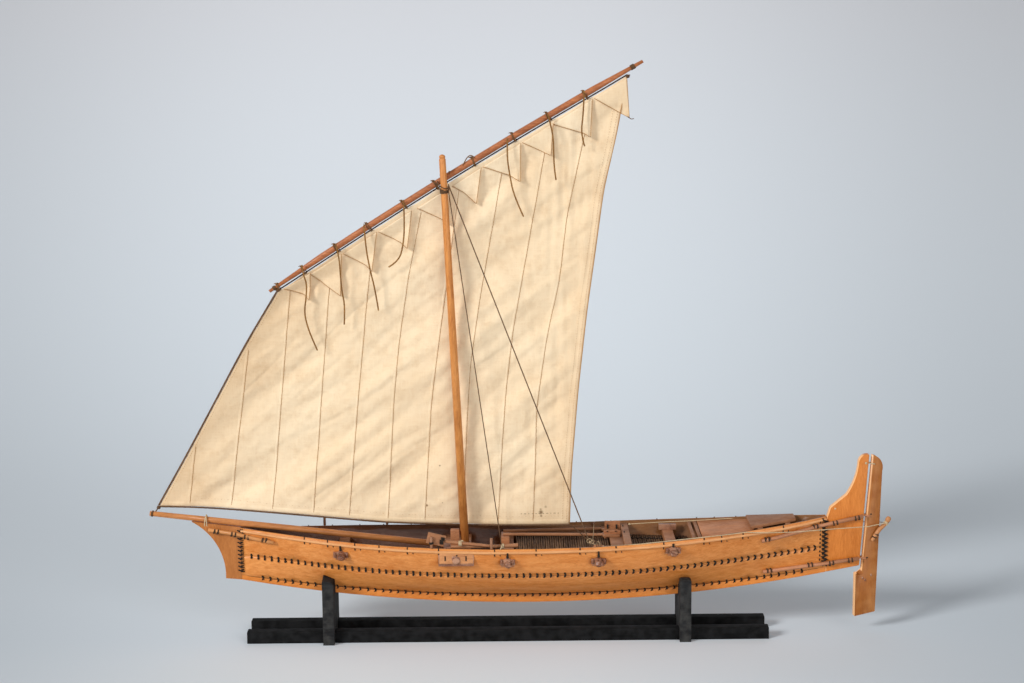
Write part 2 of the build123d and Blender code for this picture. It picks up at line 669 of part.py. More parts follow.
# Stand
bar_x0 = BAR_CENTRE_X - BAR_LENGTH / 2
bar_x1 = BAR_CENTRE_X + BAR_LENGTH / 2
bars = {}
for name, side in (("stand_bar_port", -1), ("stand_bar_starboard", 1)):
    centre_y = side * BAR_SPACING / 2
    bars[name] = block(bar_x0, bar_x1, centre_y - BAR_SIDE / 2, centre_y + BAR_SIDE / 2, 0.0, BAR_SIDE)
    save(bars[name], name)
for name, x, height in (("cradle_fore", bar_x0 + CRADLE_FORE_INSET, CRADLE_FORE_HEIGHT),
                        ("cradle_aft", bar_x1 - CRADLE_AFT_INSET, CRADLE_AFT_HEIGHT)):
    half = CRADLE_THICKNESS / 2
    board = block(x - half, x + half, -CRADLE_DEPTH / 2, CRADLE_DEPTH / 2, 0.0, height)
    board = chamfer(board.edges().group_by(Axis.Z)[-1], CRADLE_CHAMFER)
    board = board - outer - keel
    board = board - bars["stand_bar_port"] - bars["stand_bar_starboard"]
    save(board, name)

# Rudder and tiller
hinge_axis = Axis(HINGE_LOW, hinge_run)
RUDDER_FOOT_Z = 16.5
RUDDER_NOTCH_Z = 69.6
RUDDER_HEAD_Z = 174.2
rudder_edges = [
    ("fore_head", (hinge_x(RUDDER_HEAD_Z) + HINGE_GAP, RUDDER_HEAD_Z)),
    ("fore_notch", (hinge_x(RUDDER_NOTCH_Z) + HINGE_GAP, RUDDER_NOTCH_Z)),
    ("notch_low", (325.0, 61.9)),
    ("heel_fore", (319.2, 57.6)),
    ("foot_fore", (319.3, RUDDER_FOOT_Z - 1.0)),
    ("foot_aft", (339.6, RUDDER_FOOT_Z + 2.6)),
    ("blade_aft", (341.6, 100.0)),
    ("upper_aft", (343.3, 158.0)),
    ("crown_aft", (339.2, 171.4)),
]
rp = {name: at(*xz) for name, xz in rudder_edges}
blade = side_slab([
    Line(rp["fore_head"], rp["fore_notch"]),
    Line(rp["fore_notch"], rp["notch_low"]),
    Line(rp["notch_low"], rp["heel_fore"]),
    Line(rp["heel_fore"], rp["foot_fore"]),
    Line(rp["foot_fore"], rp["foot_aft"]),
    ThreePointArc(rp["foot_aft"], rp["blade_aft"], rp["upper_aft"]),
    ThreePointArc(rp["upper_aft"], rp["crown_aft"], rp["fore_head"]),
], -RUDDER_THICKNESS / 2, RUDDER_THICKNESS / 2)

# The blade's leading edge is bevelled on both sides to a narrow nose, so that it can swing
BEVEL_DEPTH = 2.4
BEVEL_NOSE = 0.7
BEVEL_FOOT_Z = 57.0
BEVEL_PAST = 4.0
for side in (-1, 1):
    nose = HINGE_GAP - 0.01
    shoulder = nose + BEVEL_DEPTH
    face_y = RUDDER_THICKNESS / 2 + 0.01
    corner = [(nose - BEVEL_PAST, side * BEVEL_NOSE), (nose, side * BEVEL_NOSE), (shoulder, side * face_y),
              (shoulder, side * (face_y + BEVEL_PAST)), (nose - BEVEL_PAST, side * (face_y + BEVEL_PAST))]
    wedge = Plane(origin=(hinge_x(BEVEL_FOOT_Z), 0, BEVEL_FOOT_Z)) * make_face(Polyline(*corner, close=True))
    rise = RUDDER_HEAD_Z + BEVEL_PAST - BEVEL_FOOT_Z
    wedge = extrude(wedge, amount=rise / hinge_run.Z * hinge_run.length, dir=hinge_run.normalized())
    blade = blade - wedge
blade = blade.rotate(hinge_axis, RUDDER_REST_ANGLE)
tiller = cord([(x, y - RUDDER_THICKNESS / 2, z) for x, y, z, r in TILLER], [r for x, y, z, r in TILLER])
tiller = tiller.rotate(hinge_axis, RUDDER_REST_ANGLE)
lacings = []
for z in LACING_HEIGHTS:
    middle = Vector(hinge_x(z), 0, z)
    reach = hinge_run.normalized() * (LACING_LENGTH / 2)
    lacings.append(cord([middle - reach, middle + reach], [LACING_RADIUS] * 2))
save(Compound(children=lacings), "rudder_lacings")
save(blade, "rudder_blade")
save(tiller, "tiller")
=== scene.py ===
# A museum model of a sewn sailing boat on its stand. Metres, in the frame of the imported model:
# X runs aft along the keel, Y to starboard, Z up from the floor.
import bmesh
import bpy
import json
import math
import random
from mathutils import Matrix, Vector, noise
from mathutils.bvhtree import BVHTree


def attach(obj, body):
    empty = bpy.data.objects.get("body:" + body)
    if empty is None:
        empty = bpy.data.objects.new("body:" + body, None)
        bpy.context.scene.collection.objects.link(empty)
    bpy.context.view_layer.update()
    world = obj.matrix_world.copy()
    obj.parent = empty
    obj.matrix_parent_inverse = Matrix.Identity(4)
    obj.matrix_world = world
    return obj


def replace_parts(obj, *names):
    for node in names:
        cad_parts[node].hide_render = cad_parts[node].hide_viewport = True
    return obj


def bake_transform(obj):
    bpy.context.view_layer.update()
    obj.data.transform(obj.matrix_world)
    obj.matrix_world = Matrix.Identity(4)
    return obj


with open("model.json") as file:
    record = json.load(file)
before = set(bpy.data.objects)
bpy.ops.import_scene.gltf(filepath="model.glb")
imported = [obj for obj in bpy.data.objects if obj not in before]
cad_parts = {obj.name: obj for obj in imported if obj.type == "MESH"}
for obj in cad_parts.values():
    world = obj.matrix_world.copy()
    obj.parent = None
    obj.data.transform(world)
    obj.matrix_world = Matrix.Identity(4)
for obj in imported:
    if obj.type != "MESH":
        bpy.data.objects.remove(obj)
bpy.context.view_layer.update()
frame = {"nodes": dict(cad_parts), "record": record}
nodes = frame["nodes"]
MM = 0.001


# The camera. It stands 1.85 m off the port side, as high as the yard's peak, and looks down
# about ten degrees along the middle of the boat. Its angles are in radians, its lens in mm.
def mm(x, y, z):
    """A place or a step that is given in millimetres."""
    return Vector((x, y, z)) * MM


CAMERA_PLACE = mm(-11.5, -1848.5, 613.8)
CAMERA_LENS = 70.3125
SENSOR_WIDTH = 36.0
LOOK_DOWN = 0.17543
LOOK_ASIDE = -0.002467
CAMERA_ROLL = -0.008995
level_ahead = Vector((-math.sin(LOOK_ASIDE), math.cos(LOOK_ASIDE), 0))
level_right = Vector((math.cos(LOOK_ASIDE), math.sin(LOOK_ASIDE), 0))
ahead = level_ahead * math.cos(LOOK_DOWN) - Vector((0, 0, math.sin(LOOK_DOWN)))
upward = Vector((0, 0, math.cos(LOOK_DOWN))) + level_ahead * math.sin(LOOK_DOWN)
frame_right = level_right * math.cos(CAMERA_ROLL) + upward * math.sin(CAMERA_ROLL)
frame_up = upward * math.cos(CAMERA_ROLL) - level_right * math.sin(CAMERA_ROLL)
camera_data = bpy.data.cameras.new("camera")
camera_data.lens = CAMERA_LENS
camera_data.sensor_width = SENSOR_WIDTH
camera_data.clip_end = 60.0
camera = bpy.data.objects.new("camera", camera_data)
turned = Matrix((frame_right, frame_up, -ahead)).transposed()
camera.matrix_world = Matrix.Translation(CAMERA_PLACE) @ turned.to_4x4()
bpy.context.scene.collection.objects.link(camera)
bpy.context.scene.camera = camera
bpy.context.scene.view_settings.view_transform = "Standard"


# Light and backdrop. A pale blue-grey paper sweep runs under the stand and rises behind it.
# One soft light comes from the left, another from in front, and the room fills the shadows.
def put(tree, kind, settings=None, sockets=None):
    """Places one shader node. A socket takes another node's socket to link, a colour or a value."""
    placed = tree.nodes.new(kind)
    for name, value in (settings or {}).items():
        setattr(placed, name, value)
    for name, value in (sockets or {}).items():
        socket = placed.inputs[name]
        if isinstance(value, bpy.types.NodeSocket):
            tree.links.new(value, socket)
        elif socket.type == "RGBA":
            socket.default_value = (*value, 1.0)
        else:
            socket.default_value = value
    return placed


def new_finish(name, **held):
    """A material: its tree, its own surface shader, whose held values are the same all over, and the
    place on the object."""
    finish = bpy.data.materials.new(name)
    finish.use_nodes = True
    tree = finish.node_tree
    shader = tree.nodes["Principled BSDF"]
    for socket, value in held.items():
        shader.inputs[socket.replace("_", " ")].default_value = value
    return finish, tree, shader, put(tree, "ShaderNodeTexCoord").outputs["Object"]


def part_of(tree, vector, axis):
    """One axis of a place or of a normal."""
    return put(tree, "ShaderNodeSeparateXYZ", None, {"Vector": vector}).outputs[axis]


def worked(tree, operation, a, b=0.0, c=0.0, clamp=False):
    """One sum of up to three values."""
    settings = {"operation": operation, "use_clamp": clamp}
    return put(tree, "ShaderNodeMath", settings, {0: a, 1: b, 2: c}).outputs[0]


def spread_out(tree, value, low, high, to_low=0.0, to_high=1.0):
    """A value moved from one range to another, held at the ends."""
    ranged = put(tree, "ShaderNodeMapRange", None, {
        "Value": value, "From Min": low, "From Max": high, "To Min": to_low, "To Max": to_high})
    return ranged.outputs["Result"]


def mixed(tree, factor, a, b, mode="MIX"):
    """Two colours mixed by a factor."""
    mix = put(tree, "ShaderNodeMix", {"data_type": "RGBA", "blend_type": mode}, {0: factor, 6: a, 7: b})
    return mix.outputs[2]


def add_mesh(name, verts, faces, finish):
    """A new smooth mesh object in the frame of the model."""
    mesh = bpy.data.meshes.new(name)
    mesh.from_pydata([tuple(v) for v in verts], [], faces)
    mesh.validate()
    mesh.polygons.foreach_set("use_smooth", [True] * len(mesh.polygons))
    mesh.materials.append(finish)
    piece = bpy.data.objects.new(name, mesh)
    bpy.context.scene.collection.objects.link(piece)
    return piece


PAPER_LOW = (0.775, 0.84, 0.895)
# Painted shade: the paper's tone is painted darker as it rises behind the stand, fully so from the height
# below, in metres.
PAPER_HIGH_PAINTED_SHADE = (0.60, 0.612, 0.642)
PAPER_PAINTED_SHADE_FROM = 0.62
# Painted light on the paper: a pool of light is painted round the boat, and beyond it at the sides the paper
# is painted darker as shade.
PAPER_PAINTED_SIDE_SHADE = (0.70, 0.70, 0.70)
LIGHT_POOL_SHIFT = 0.12
LIGHT_POOL_NEAR_WIDTH, LIGHT_POOL_FAR_WIDTH, LIGHT_POOL_FAR = 0.48, 1.45, 3.7
LIGHT_POOL_RIM = (0.15, 1.25)
PAPER_HALF_WIDTH = 6.0
PAPER_NEAR = -3.0
PAPER_BEND = 0.6
PAPER_BEND_RADIUS = 4.0
PAPER_BEND_STEPS = 60
PAPER_HEIGHT = 6.0
paper, tree, shader, place = new_finish("backdrop_paper", Roughness=0.9)
# The painted pool of light widens towards the back; outside it the painted side shade comes in.
light_pool_width = spread_out(tree, part_of(tree, place, "Y"), 0.0, LIGHT_POOL_FAR, LIGHT_POOL_NEAR_WIDTH, LIGHT_POOL_FAR_WIDTH)
aside = worked(tree, "ADD", worked(tree, "DIVIDE", part_of(tree, place, "X"), light_pool_width), LIGHT_POOL_SHIFT)
out_of_painted_light_pool = put(tree, "ShaderNodeMapRange", {"interpolation_type": "SMOOTHSTEP"}, {
    "Value": worked(tree, "ABSOLUTE", aside), "From Min": LIGHT_POOL_RIM[0], "From Max": LIGHT_POOL_RIM[1]})
# Painted shade up the rise of the paper.
painted_shade_rise = spread_out(tree, part_of(tree, place, "Z"), 0.0, PAPER_PAINTED_SHADE_FROM)
paper_tone = mixed(tree, painted_shade_rise, PAPER_LOW, PAPER_HIGH_PAINTED_SHADE)
paper_tone = mixed(tree, out_of_painted_light_pool.outputs["Result"], paper_tone, PAPER_PAINTED_SIDE_SHADE, "MULTIPLY")
tree.links.new(paper_tone, shader.inputs["Base Color"])
sweep_line = [(PAPER_NEAR, 0.0), (0.0, 0.0), (PAPER_BEND, 0.0)]
for step in range(1, PAPER_BEND_STEPS + 1):
    turn = math.pi / 2 * step / PAPER_BEND_STEPS
    sweep_line.append((PAPER_BEND + PAPER_BEND_RADIUS * math.sin(turn),
                       PAPER_BEND_RADIUS * (1.0 - math.cos(turn))))
sweep_line.append((PAPER_BEND + PAPER_BEND_RADIUS, PAPER_HEIGHT))
sweep_verts = [(x, y, z) for y, z in sweep_line for x in (-PAPER_HALF_WIDTH, PAPER_HALF_WIDTH)]
sweep_faces = [(2 * i, 2 * i + 1, 2 * i + 3, 2 * i + 2) for i in range(len(sweep_line) - 1)]
add_mesh("backdrop", sweep_verts, sweep_faces, paper)

# Each light: where it comes from, its strength, and its spread in degrees.
LIGHTS = {
    "key": (Vector((-0.70, -0.55, 0.45)), 2.2, 16.0),
    "fill": (Vector((0.45, -0.85, 0.25)), 1.35, 55.0),
}
ROOM_COLOUR = (0.97, 0.98, 1.0, 1.0)
ROOM_STRENGTH = 0.30
for light_name, (source, strength, spread) in LIGHTS.items():
    light_data = bpy.data.lights.new(light_name, "SUN")
    light_data.energy = strength
    light_data.angle = math.radians(spread)
    light = bpy.data.objects.new(light_name, light_data)
    light.rotation_euler = source.to_track_quat("Z", "Y").to_euler()
    bpy.context.scene.collection.objects.link(light)
room = bpy.data.worlds.new("room")
room.use_nodes = True
room_light = room.node_tree.nodes["Background"]
room_light.inputs["Color"].default_value = ROOM_COLOUR
room_light.inputs["Strength"].default_value = ROOM_STRENGTH
bpy.context.scene.world = room


# Keel, stem board and stern fin. Boards of a warm orange-brown hardwood, sawn to shape, scraped
# smooth and varnished. The keel carries the planks; stem and fin stand on its ends.
def new_group(name, inputs, outputs):
    """A shader node group with named inputs and outputs: returns it with its two end nodes."""
    group = bpy.data.node_groups.new(name, "ShaderNodeTree")
    for label, kind in inputs.items():
        group.interface.new_socket(label, in_out="INPUT", socket_type="NodeSocket" + kind)
    for label, kind in outputs.items():
        group.interface.new_socket(label, in_out="OUTPUT", socket_type="NodeSocket" + kind)
    return group, group.nodes.new("NodeGroupInput").outputs, group.nodes.new("NodeGroupOutput").inputs


def noise_in(tree, place, scale, detail=2.0, roughness=0.5, warp=0.0):
    """A noise value at the given place."""
    made = put(tree, "ShaderNodeTexNoise", None, {
        "Vector": place, "Scale": scale, "Detail": detail, "Roughness": roughness, "Distortion": warp})
    return made.outputs["Fac"]


def stretched(tree, place, scale):
    """The place with each of its axes scaled."""
    return put(tree, "ShaderNodeMapping", None, {"Vector": place, "Scale": scale}).outputs["Vector"]


def times(tree, a, b):
    """Two masks put together."""
    return worked(tree, "MULTIPLY", a, b, clamp=True)


def embossed(tree, shader, height, strength, depth):
    """Gives a surface its fine relief, whose depth is in millimetres."""
    relief = put(tree, "ShaderNodeBump", None, {
        "Strength": strength, "Distance": depth * MM, "Height": height})
    tree.links.new(relief.outputs["Normal"], shader.inputs["Normal"])


grain_group, grain_in, grain_out = new_group(
    "long_grain", {"Place": "Vector", "Pale": "Color", "Deep": "Color", "Figure": "Float"},
    {"Colour": "Color", "Height": "Float", "Dullness": "Float"})
PORE_SHADE = (0.45, 0.40, 0.38)
broad = noise_in(grain_group, grain_in["Place"], 2.2, 3.0, 0.5, 0.6)
streaks = noise_in(grain_group, grain_in["Place"], 14.0, 7.0, 0.62, 0.9)
pores = noise_in(grain_group, grain_in["Place"], 60.0, 3.0, 0.6, 0.2)
figured = times(grain_group, spread_out(grain_group, streaks, 0.36, 0.66), grain_in["Figure"])
broad_tone = spread_out(grain_group, broad, 0.32, 0.68)
tone = worked(grain_group, "MULTIPLY_ADD", broad_tone, 0.45, figured, clamp=True)
grain_colour = mixed(grain_group, tone, grain_in["Pale"], grain_in["Deep"])
pore_mask = spread_out(grain_group, pores, 0.58, 0.72, 0.0, 0.45)
dark_grain = mixed(grain_group, 1.0, grain_in["Deep"], PORE_SHADE, "MULTIPLY")
grain_group.links.new(mixed(grain_group, pore_mask, grain_colour, dark_grain), grain_out["Colour"])
grain_group.links.new(worked(grain_group, "SUBTRACT", streaks, pore_mask, clamp=True), grain_out["Height"])
grain_group.links.new(spread_out(grain_group, streaks, 0.3, 0.7), grain_out["Dullness"])

handled_group, handled_in, handled_out = new_group(
    "handled", {"Place": "Vector", "Edge": "Float", "Dust": "Float"}, {"Edge": "Float", "Dust": "Float"})
bend = put(handled_group, "ShaderNodeNewGeometry").outputs
patchy = spread_out(handled_group, noise_in(handled_group, handled_in["Place"], 9.0, 5.0), 0.38, 0.62)
rubbed = spread_out(handled_group, bend["Pointiness"], 0.515, 0.60)
lying = spread_out(handled_group, part_of(handled_group, bend["Normal"], "Z"), 0.45, 0.95)
for mask, label in ((rubbed, "Edge"), (lying, "Dust")):
    worn_there = times(handled_group, times(handled_group, mask, patchy), handled_in[label])
    handled_group.links.new(worn_there, handled_out[label])

DUST_COLOUR = (0.42, 0.40, 0.37)
RUBBED_PALER = 1.35
# Painted shadow of the sail on the inside of the hull, forward.
INSIDE_PAINTED_SAIL_SHADE = (0.15, 0.12, 0.13)


def wood(name, pale, deep, stretch, figure=0.55, gloss=0.38, coat=0.10, edge=0.3, edge_colour=None,
         dust=0.1, inside=None, fore=None):
    """A timber finish. Stretch is how often the grain repeats per metre along X, Y and Z. Faces that look
    in to the boat's middle line take the inside tone, partly bare wood and partly painted shade, with a
    painted shadow of the sail forward; those that look forward take the fore tone, which is a painted
    highlight."""
    finish, tree, shader, place = new_finish(
        name, Coat_Weight=coat, Coat_Roughness=0.25, Specular_IOR_Level=0.3)
    grain = put(tree, "ShaderNodeGroup", {"node_tree": grain_group}, {
        "Place": stretched(tree, place, stretch), "Pale": pale, "Deep": deep, "Figure": figure}).outputs
    worn = put(tree, "ShaderNodeGroup", {"node_tree": handled_group}, {
        "Place": stretched(tree, place, (6.0, 6.0, 6.0)), "Edge": edge, "Dust": dust}).outputs
    edge_colour = edge_colour or [min(1.0, c * RUBBED_PALER) for c in pale]
    colour = mixed(tree, worn["Edge"], grain["Colour"], edge_colour)
    colour = mixed(tree, worn["Dust"], colour, DUST_COLOUR)
    if inside or fore:
        normal = put(tree, "ShaderNodeNewGeometry").outputs["Normal"]
    # Inside tone: partly the bare wood's own colour, partly painted shade; forward it turns to a painted
    # shadow of the sail.
    if inside:
        outward = worked(tree, "MULTIPLY", part_of(tree, place, "Y"), part_of(tree, normal, "Y"))
        forward = spread_out(tree, part_of(tree, place, "X"), 0.055, 0.0)
        dimmed = mixed(tree, 1.0, colour, mixed(tree, forward, inside, INSIDE_PAINTED_SAIL_SHADE), "MULTIPLY")
        colour = mixed(tree, spread_out(tree, outward, 0.0, -0.003), colour, dimmed)
    # Painted highlight: faces that look forward take the paler fore tone.
    if fore:
        painted_forward_highlight = spread_out(tree, part_of(tree, normal, "X"), -0.30, -0.55)
        colour = mixed(tree, painted_forward_highlight, colour, fore)
    tree.links.new(colour, shader.inputs["Base Color"])
    dull = spread_out(tree, grain["Dullness"], 0.0, 1.0, gloss - 0.05, gloss + 0.12)
    tree.links.new(dull, shader.inputs["Roughness"])
    embossed(tree, shader, grain["Height"], 0.12, 0.3)
    return finish


PARED_WIDTH = 1.7
SHADED_SHARP = math.radians(50.0)


def sharp_corners(shape, degrees):
    """The edges of a mesh where two faces meet at more than some angle."""
    return [e for e in shape.edges if len(e.link_faces) == 2 and e.calc_face_angle() > math.radians(degrees)]


def dressed(node, finish, ease=0.35, sharp_over=35.0, pared=None):
    """A copy of the CAD node with its corners eased by hand, which stands for the node. Corners whose
    ends are both pared, as a test on the place tells, are cut back wide."""
    shape = bmesh.new()
    shape.from_mesh(nodes[node].data)
    bmesh.ops.remove_doubles(shape, verts=shape.verts, dist=0.01 * MM)
    bmesh.ops.dissolve_limit(shape, angle_limit=math.radians(0.3), verts=shape.verts, edges=shape.edges)
    corners = sharp_corners(shape, sharp_over)
    if pared:
        wide = [e for e in corners if all(pared(v.co / MM) for v in e.verts)]
        bmesh.ops.bevel(shape, geom=wide, offset=PARED_WIDTH * MM, segments=1, affect="EDGES",
                        clamp_overlap=True)
        corners = sharp_corners(shape, 60.0)
    if ease:
        bmesh.ops.bevel(shape, geom=corners, offset=ease * MM, segments=2, profile=0.6,
                        affect="EDGES", clamp_overlap=True)
    bmesh.ops.triangulate(shape, faces=[f for f in shape.faces if len(f.verts) > 4])
    mesh = bpy.data.meshes.new(node + "_finished")
    shape.to_mesh(mesh)
    shape.free()
    mesh.polygons.foreach_set("use_smooth", [True] * len(mesh.polygons))
    mesh.set_sharp_from_angle(angle=SHADED_SHARP)
    mesh.materials.append(finish)
    piece = bpy.data.objects.new(node + "_finished", mesh)
    bpy.context.scene.collection.objects.link(piece)
    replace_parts(piece, node)
    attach(piece, next(b for b, held in frame["record"]["behaviour"]["bodies"].items() if node in held))
    return piece


board_wood = wood("board_wood", (0.76, 0.265, 0.050), (0.52, 0.145, 0.015), (9.0, 60.0, 26.0), edge=0.35)
stem_wood = wood("stem_wood", (0.52, 0.190, 0.046), (0.34, 0.105, 0.018), (60.0, 60.0, 9.0), edge=0.35)
# The fin's fore tone is a painted highlight on its forward-looking faces.
upright_wood = wood("upright_wood", (0.70, 0.235, 0.042), (0.48, 0.130, 0.012), (60.0, 60.0, 9.0), edge=0.35,
                    fore=(0.95, 0.50, 0.20))
dressed("keel", board_wood, 0.5)
dressed("stem", stem_wood, 0.7)
dressed("stern_fin", upright_wood, 0.9)

# Planking. Two broad strakes on each side, carved and bent to the hull's round and scraped thin,
# edge to edge with no frames. Their inside is bare and darker, partly its own tone and partly painted shade,
# and darkest in the bow under a painted shadow of the sail.
# The inside tone is partly the bare wood's own colour and partly painted shade.
plank_wood = wood("plank_wood", (0.80, 0.320, 0.086), (0.54, 0.155, 0.018), (7.0, 40.0, 34.0),
                  figure=0.6, gloss=0.34, coat=0.14, edge=0.15, inside=(0.32, 0.36, 0.48))
STRAKES = ("strake_lower_port", "strake_lower_starboard", "strake_upper_port", "strake_upper_starboard")
for strake in STRAKES:
    dressed(strake, plank_wood, 0.0)


# Sewing. No nail holds the planks: dark coir cord runs through pairs of holes across each seam
# and shows outside as a row of short double stitches. They lean aft towards the stern.
def tube(points, radius, sides=6):
    """The skin of a round cord along some points, closed at its ends. Its radius, in millimetres, may
    be a list."""
    points = [Vector(p) for p in points]
    radii = radius if isinstance(radius, list) else [radius] * len(points)
    heading = (points[1] - points[0]).normalized()
    across = heading.orthogonal().normalized()
    verts, faces = [], []
    for i, point in enumerate(points):
        heading = (points[min(i + 1, len(points) - 1)] - points[max(i - 1, 0)]).normalized()
        across = (across - heading * across.dot(heading)).normalized()
        over = heading.cross(across)
        for k in range(sides):
            turn = 2 * math.pi * k / sides
            verts.append(point + (across * math.cos(turn) + over * math.sin(turn)) * radii[i] * MM)
    for i in range(len(points) - 1):
        for k in range(sides):
            a, b = i * sides + k, i * sides + (k + 1) % sides
            faces.append((a, b, b + sides, a + sides))
    last = (len(points) - 1) * sides
    faces.append(tuple(reversed(range(sides))))
    faces.append(tuple(range(last, last + sides)))
    return verts, faces


def merged(parts):
    """Several skins put together as one."""
    verts, faces = [], []
    for part_verts, part_faces in parts:
        base = len(verts)
        verts.extend(part_verts)
        faces.extend(tuple(base + i for i in face) for face in part_faces)
    return verts, faces


def joined(name, parts, finish, body="root"):
    """One mesh object made of several skins, which rides on a body."""
    piece = add_mesh(name, *merged(parts), finish)
    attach(piece, body)
    return piece


def fibre(name, pale, deep, scale=1100.0):
    """A twisted fibre finish: fine streaks of two tones, dull, with a little fuzz."""
    finish, tree, shader, place = new_finish(name, Roughness=0.85, Specular_IOR_Level=0.2, Sheen_Weight=0.05)
    fine = noise_in(tree, place, scale, 3.0, 0.6)
    wide = noise_in(tree, place, scale / 14, 2.0)
    shade = times(tree, spread_out(tree, fine, 0.3, 0.7), spread_out(tree, wide, 0.3, 0.7, 0.45, 1.0))
    tree.links.new(mixed(tree, shade, deep, pale), shader.inputs["Base Color"])
    embossed(tree, shader, fine, 0.5, 0.15)
    return finish


def ray_target(names):
    """CAD nodes put together as one target for rays."""
    return BVHTree.FromPolygons(*merged(([v.co.copy() for v in nodes[name].data.vertices],
                                         [p.vertices for p in nodes[name].data.polygons]) for name in names))


def on_side(target, x, z, side, lift=0.0):
    """The point where a target's outside is met at some millimetres x and z, port -1, starboard 1."""
    hit, facing = target.ray_cast(mm(x, 200.0 * side, z), Vector((0, -side, 0)))[:2]
    if hit is None:
        return mm(x, 0.0, z)
    if facing.y * side < 0:
        facing = -facing
    return hit + facing * lift * MM


def arc_through(first, middle, last):
    """The height at x of the sagging round line through three (x, z) points."""
    (xa, za), (xb, zb), (xc, zc) = first, middle, last
    slope_a, slope_b = (zb - za) / (xb - xa), (zc - zb) / (xc - xb)
    centre_x = (slope_a * slope_b * (za - zc) + slope_b * (xa + xb) - slope_a * (xb + xc)) \
        / (2 * (slope_b - slope_a))
    centre_z = (za + zb) / 2 - (centre_x - (xa + xb) / 2) / slope_a
    radius = math.hypot(xa - centre_x, za - centre_z)
    return lambda x: centre_z - math.sqrt(radius ** 2 - (x - centre_x) ** 2)


KEEL_SEAM = arc_through((-267, 62.5), (6, 40.8), (291, 65))
MIDDLE_SEAM = arc_through((-267, 82.6), (4, 69.1), (291, 86))
SHEER = arc_through((-267, 108.7), (-14, 96.9), (291, 114.6))
HULL_TARGET = ray_target(["keel", "stem", "stern_fin", "rail_port", "rail_starboard", *STRAKES])
THREAD_SUNK = -0.9
coir = fibre("dark_coir", (0.045, 0.030, 0.018), (0.008, 0.005, 0.004))


def sewn(route, side, radius):
    """A thread that comes out of the hull, lies over it through some (x, z) points and goes back in."""
    laid = [on_side(HULL_TARGET, x, z, side, radius * 0.7) for x, z in route]
    first = on_side(HULL_TARGET, *route[0], side, THREAD_SUNK)
    last = on_side(HULL_TARGET, *route[-1], side, THREAD_SUNK)
    return tube([first, *laid, last], radius)


def seam_cord(seam, end, step, side, lift, radius, sides):
    """A cord that fills a seam from stem to fin."""
    return tube([on_side(HULL_TARGET, x, seam(x), side, lift) for x in range(-262, end, step)], radius, sides)


random.seed(7)
# Each row of stitches along a seam: its first and last x and its count.
MIDDLE_ROW = (-257.0, 280.0, 84)
LOWER_ROW = (-247.0, 268.0, 73)
MIDDLE_PAIR, LOWER_PAIR = 0.28, 0.4
LEAN_FORE, LEAN_GAIN, LEAN_FROM = 0.2, 1.5, 0.3
# Each upright row: its first and last z and its count, then the threads of one stitch, as places at
# x and above the stitch's own height, each with its radius.
UPRIGHT_ROWS = (
    ((67.0, 106.0, 11), ((((-270.0, 0.6), (-267.6, -0.2), (-265.0, 1.3)), 0.62),
                         (((-269.6, 0.4), (-267.0, -1.1), (-264.6, -0.9)), 0.55),
                         (((-266.6, 1.5), (-267.4, -0.2)), 0.55))),
    ((68.5, 110.0, 11), ((((288.6, 1.5), (292.6, 0.0), (288.6, -1.5)), 0.78),
                         (((289.4, 0.5), (291.0, 0.0)), 0.8),
                         (((287.2, 2.975), (287.8, 1.175)), 0.7),
                         (((285.0, 0.5), (285.0, -0.6)), 0.62))),
)
for side, side_name in ((-1, "port"), (1, "starboard")):
    threads = []
    first_x, last_x, count = MIDDLE_ROW
    for i in range(count):
        t = i / (count - 1)
        x = first_x + (last_x - first_x) * t + random.uniform(-0.25, 0.25)
        z = MIDDLE_SEAM(x)
        lean = (LEAN_FORE + LEAN_GAIN * max(0.0, t - LEAN_FROM)) / 2
        reach = random.uniform(2.0, 2.5)
        for offset in (-MIDDLE_PAIR, MIDDLE_PAIR):
            stitch = [(x + offset - lean, z + reach), (x + offset * 2.2 + lean, z + 1.0),
                      (x + offset * 0.4 + lean, z + 0.1), (x + offset * 2.2 + lean, z - 0.9),
                      (x + offset - lean, z - reach)]
            threads.append(sewn(stitch, side, random.uniform(0.50, 0.62)))
    joined("seam_filling_" + side_name, [seam_cord(MIDDLE_SEAM, 288, 5, side, -0.2, 0.42, 6)], plank_wood)
    first_x, last_x, count = LOWER_ROW
    for i in range(count):
        x = first_x + (last_x - first_x) * i / (count - 1) + random.uniform(-0.3, 0.3)
        z = KEEL_SEAM(x)
        for offset in (-LOWER_PAIR, LOWER_PAIR):
            stitch = [(x + offset - 0.5, z + 2.1), (x + offset + 0.3, z + 0.5), (x + offset + 0.1, z - 1.5)]
            threads.append(sewn(stitch, side, random.uniform(0.40, 0.52)))
        threads.append(sewn([(x + 0.2, z - 1.4), (x - 1.1, z - 2.0)], side, 0.38))
    threads.append(seam_cord(KEEL_SEAM, 286, 6, side, -0.15, 0.25, 5))
    for (low_z, high_z, count), shapes in UPRIGHT_ROWS:
        for i in range(count):
            z = low_z + (high_z - low_z) * i / (count - 1)
            threads.extend(sewn([(x, z + up) for x, up in shape], side, radius) for shape, radius in shapes)
    for x in (287.5, 291.0, 294.5):
        threads.append(sewn([(x - 1.0, 67.4), (x + 1.0, 66.2)], side, 0.6))
    joined("sewing_" + side_name, threads, coir)

# Rails. A thin pale batten runs just under each gunwale, tied at short steps by cord that goes
# through the plank above and below it and shows as pairs of dark dots.
RAIL_TIES = (-204.7, -182.3, -156.2, -133.3, -106.7, -77.4, -25.1, 13.6, 54.6, 88.2, 133.0, 171.2, 188.0,
             208.5, 247.7)
BOW_DOTS = ((-244.4, 82.5), (-239.9, 81.6), (-223.5, 77.3), (-219.4, 76.6))
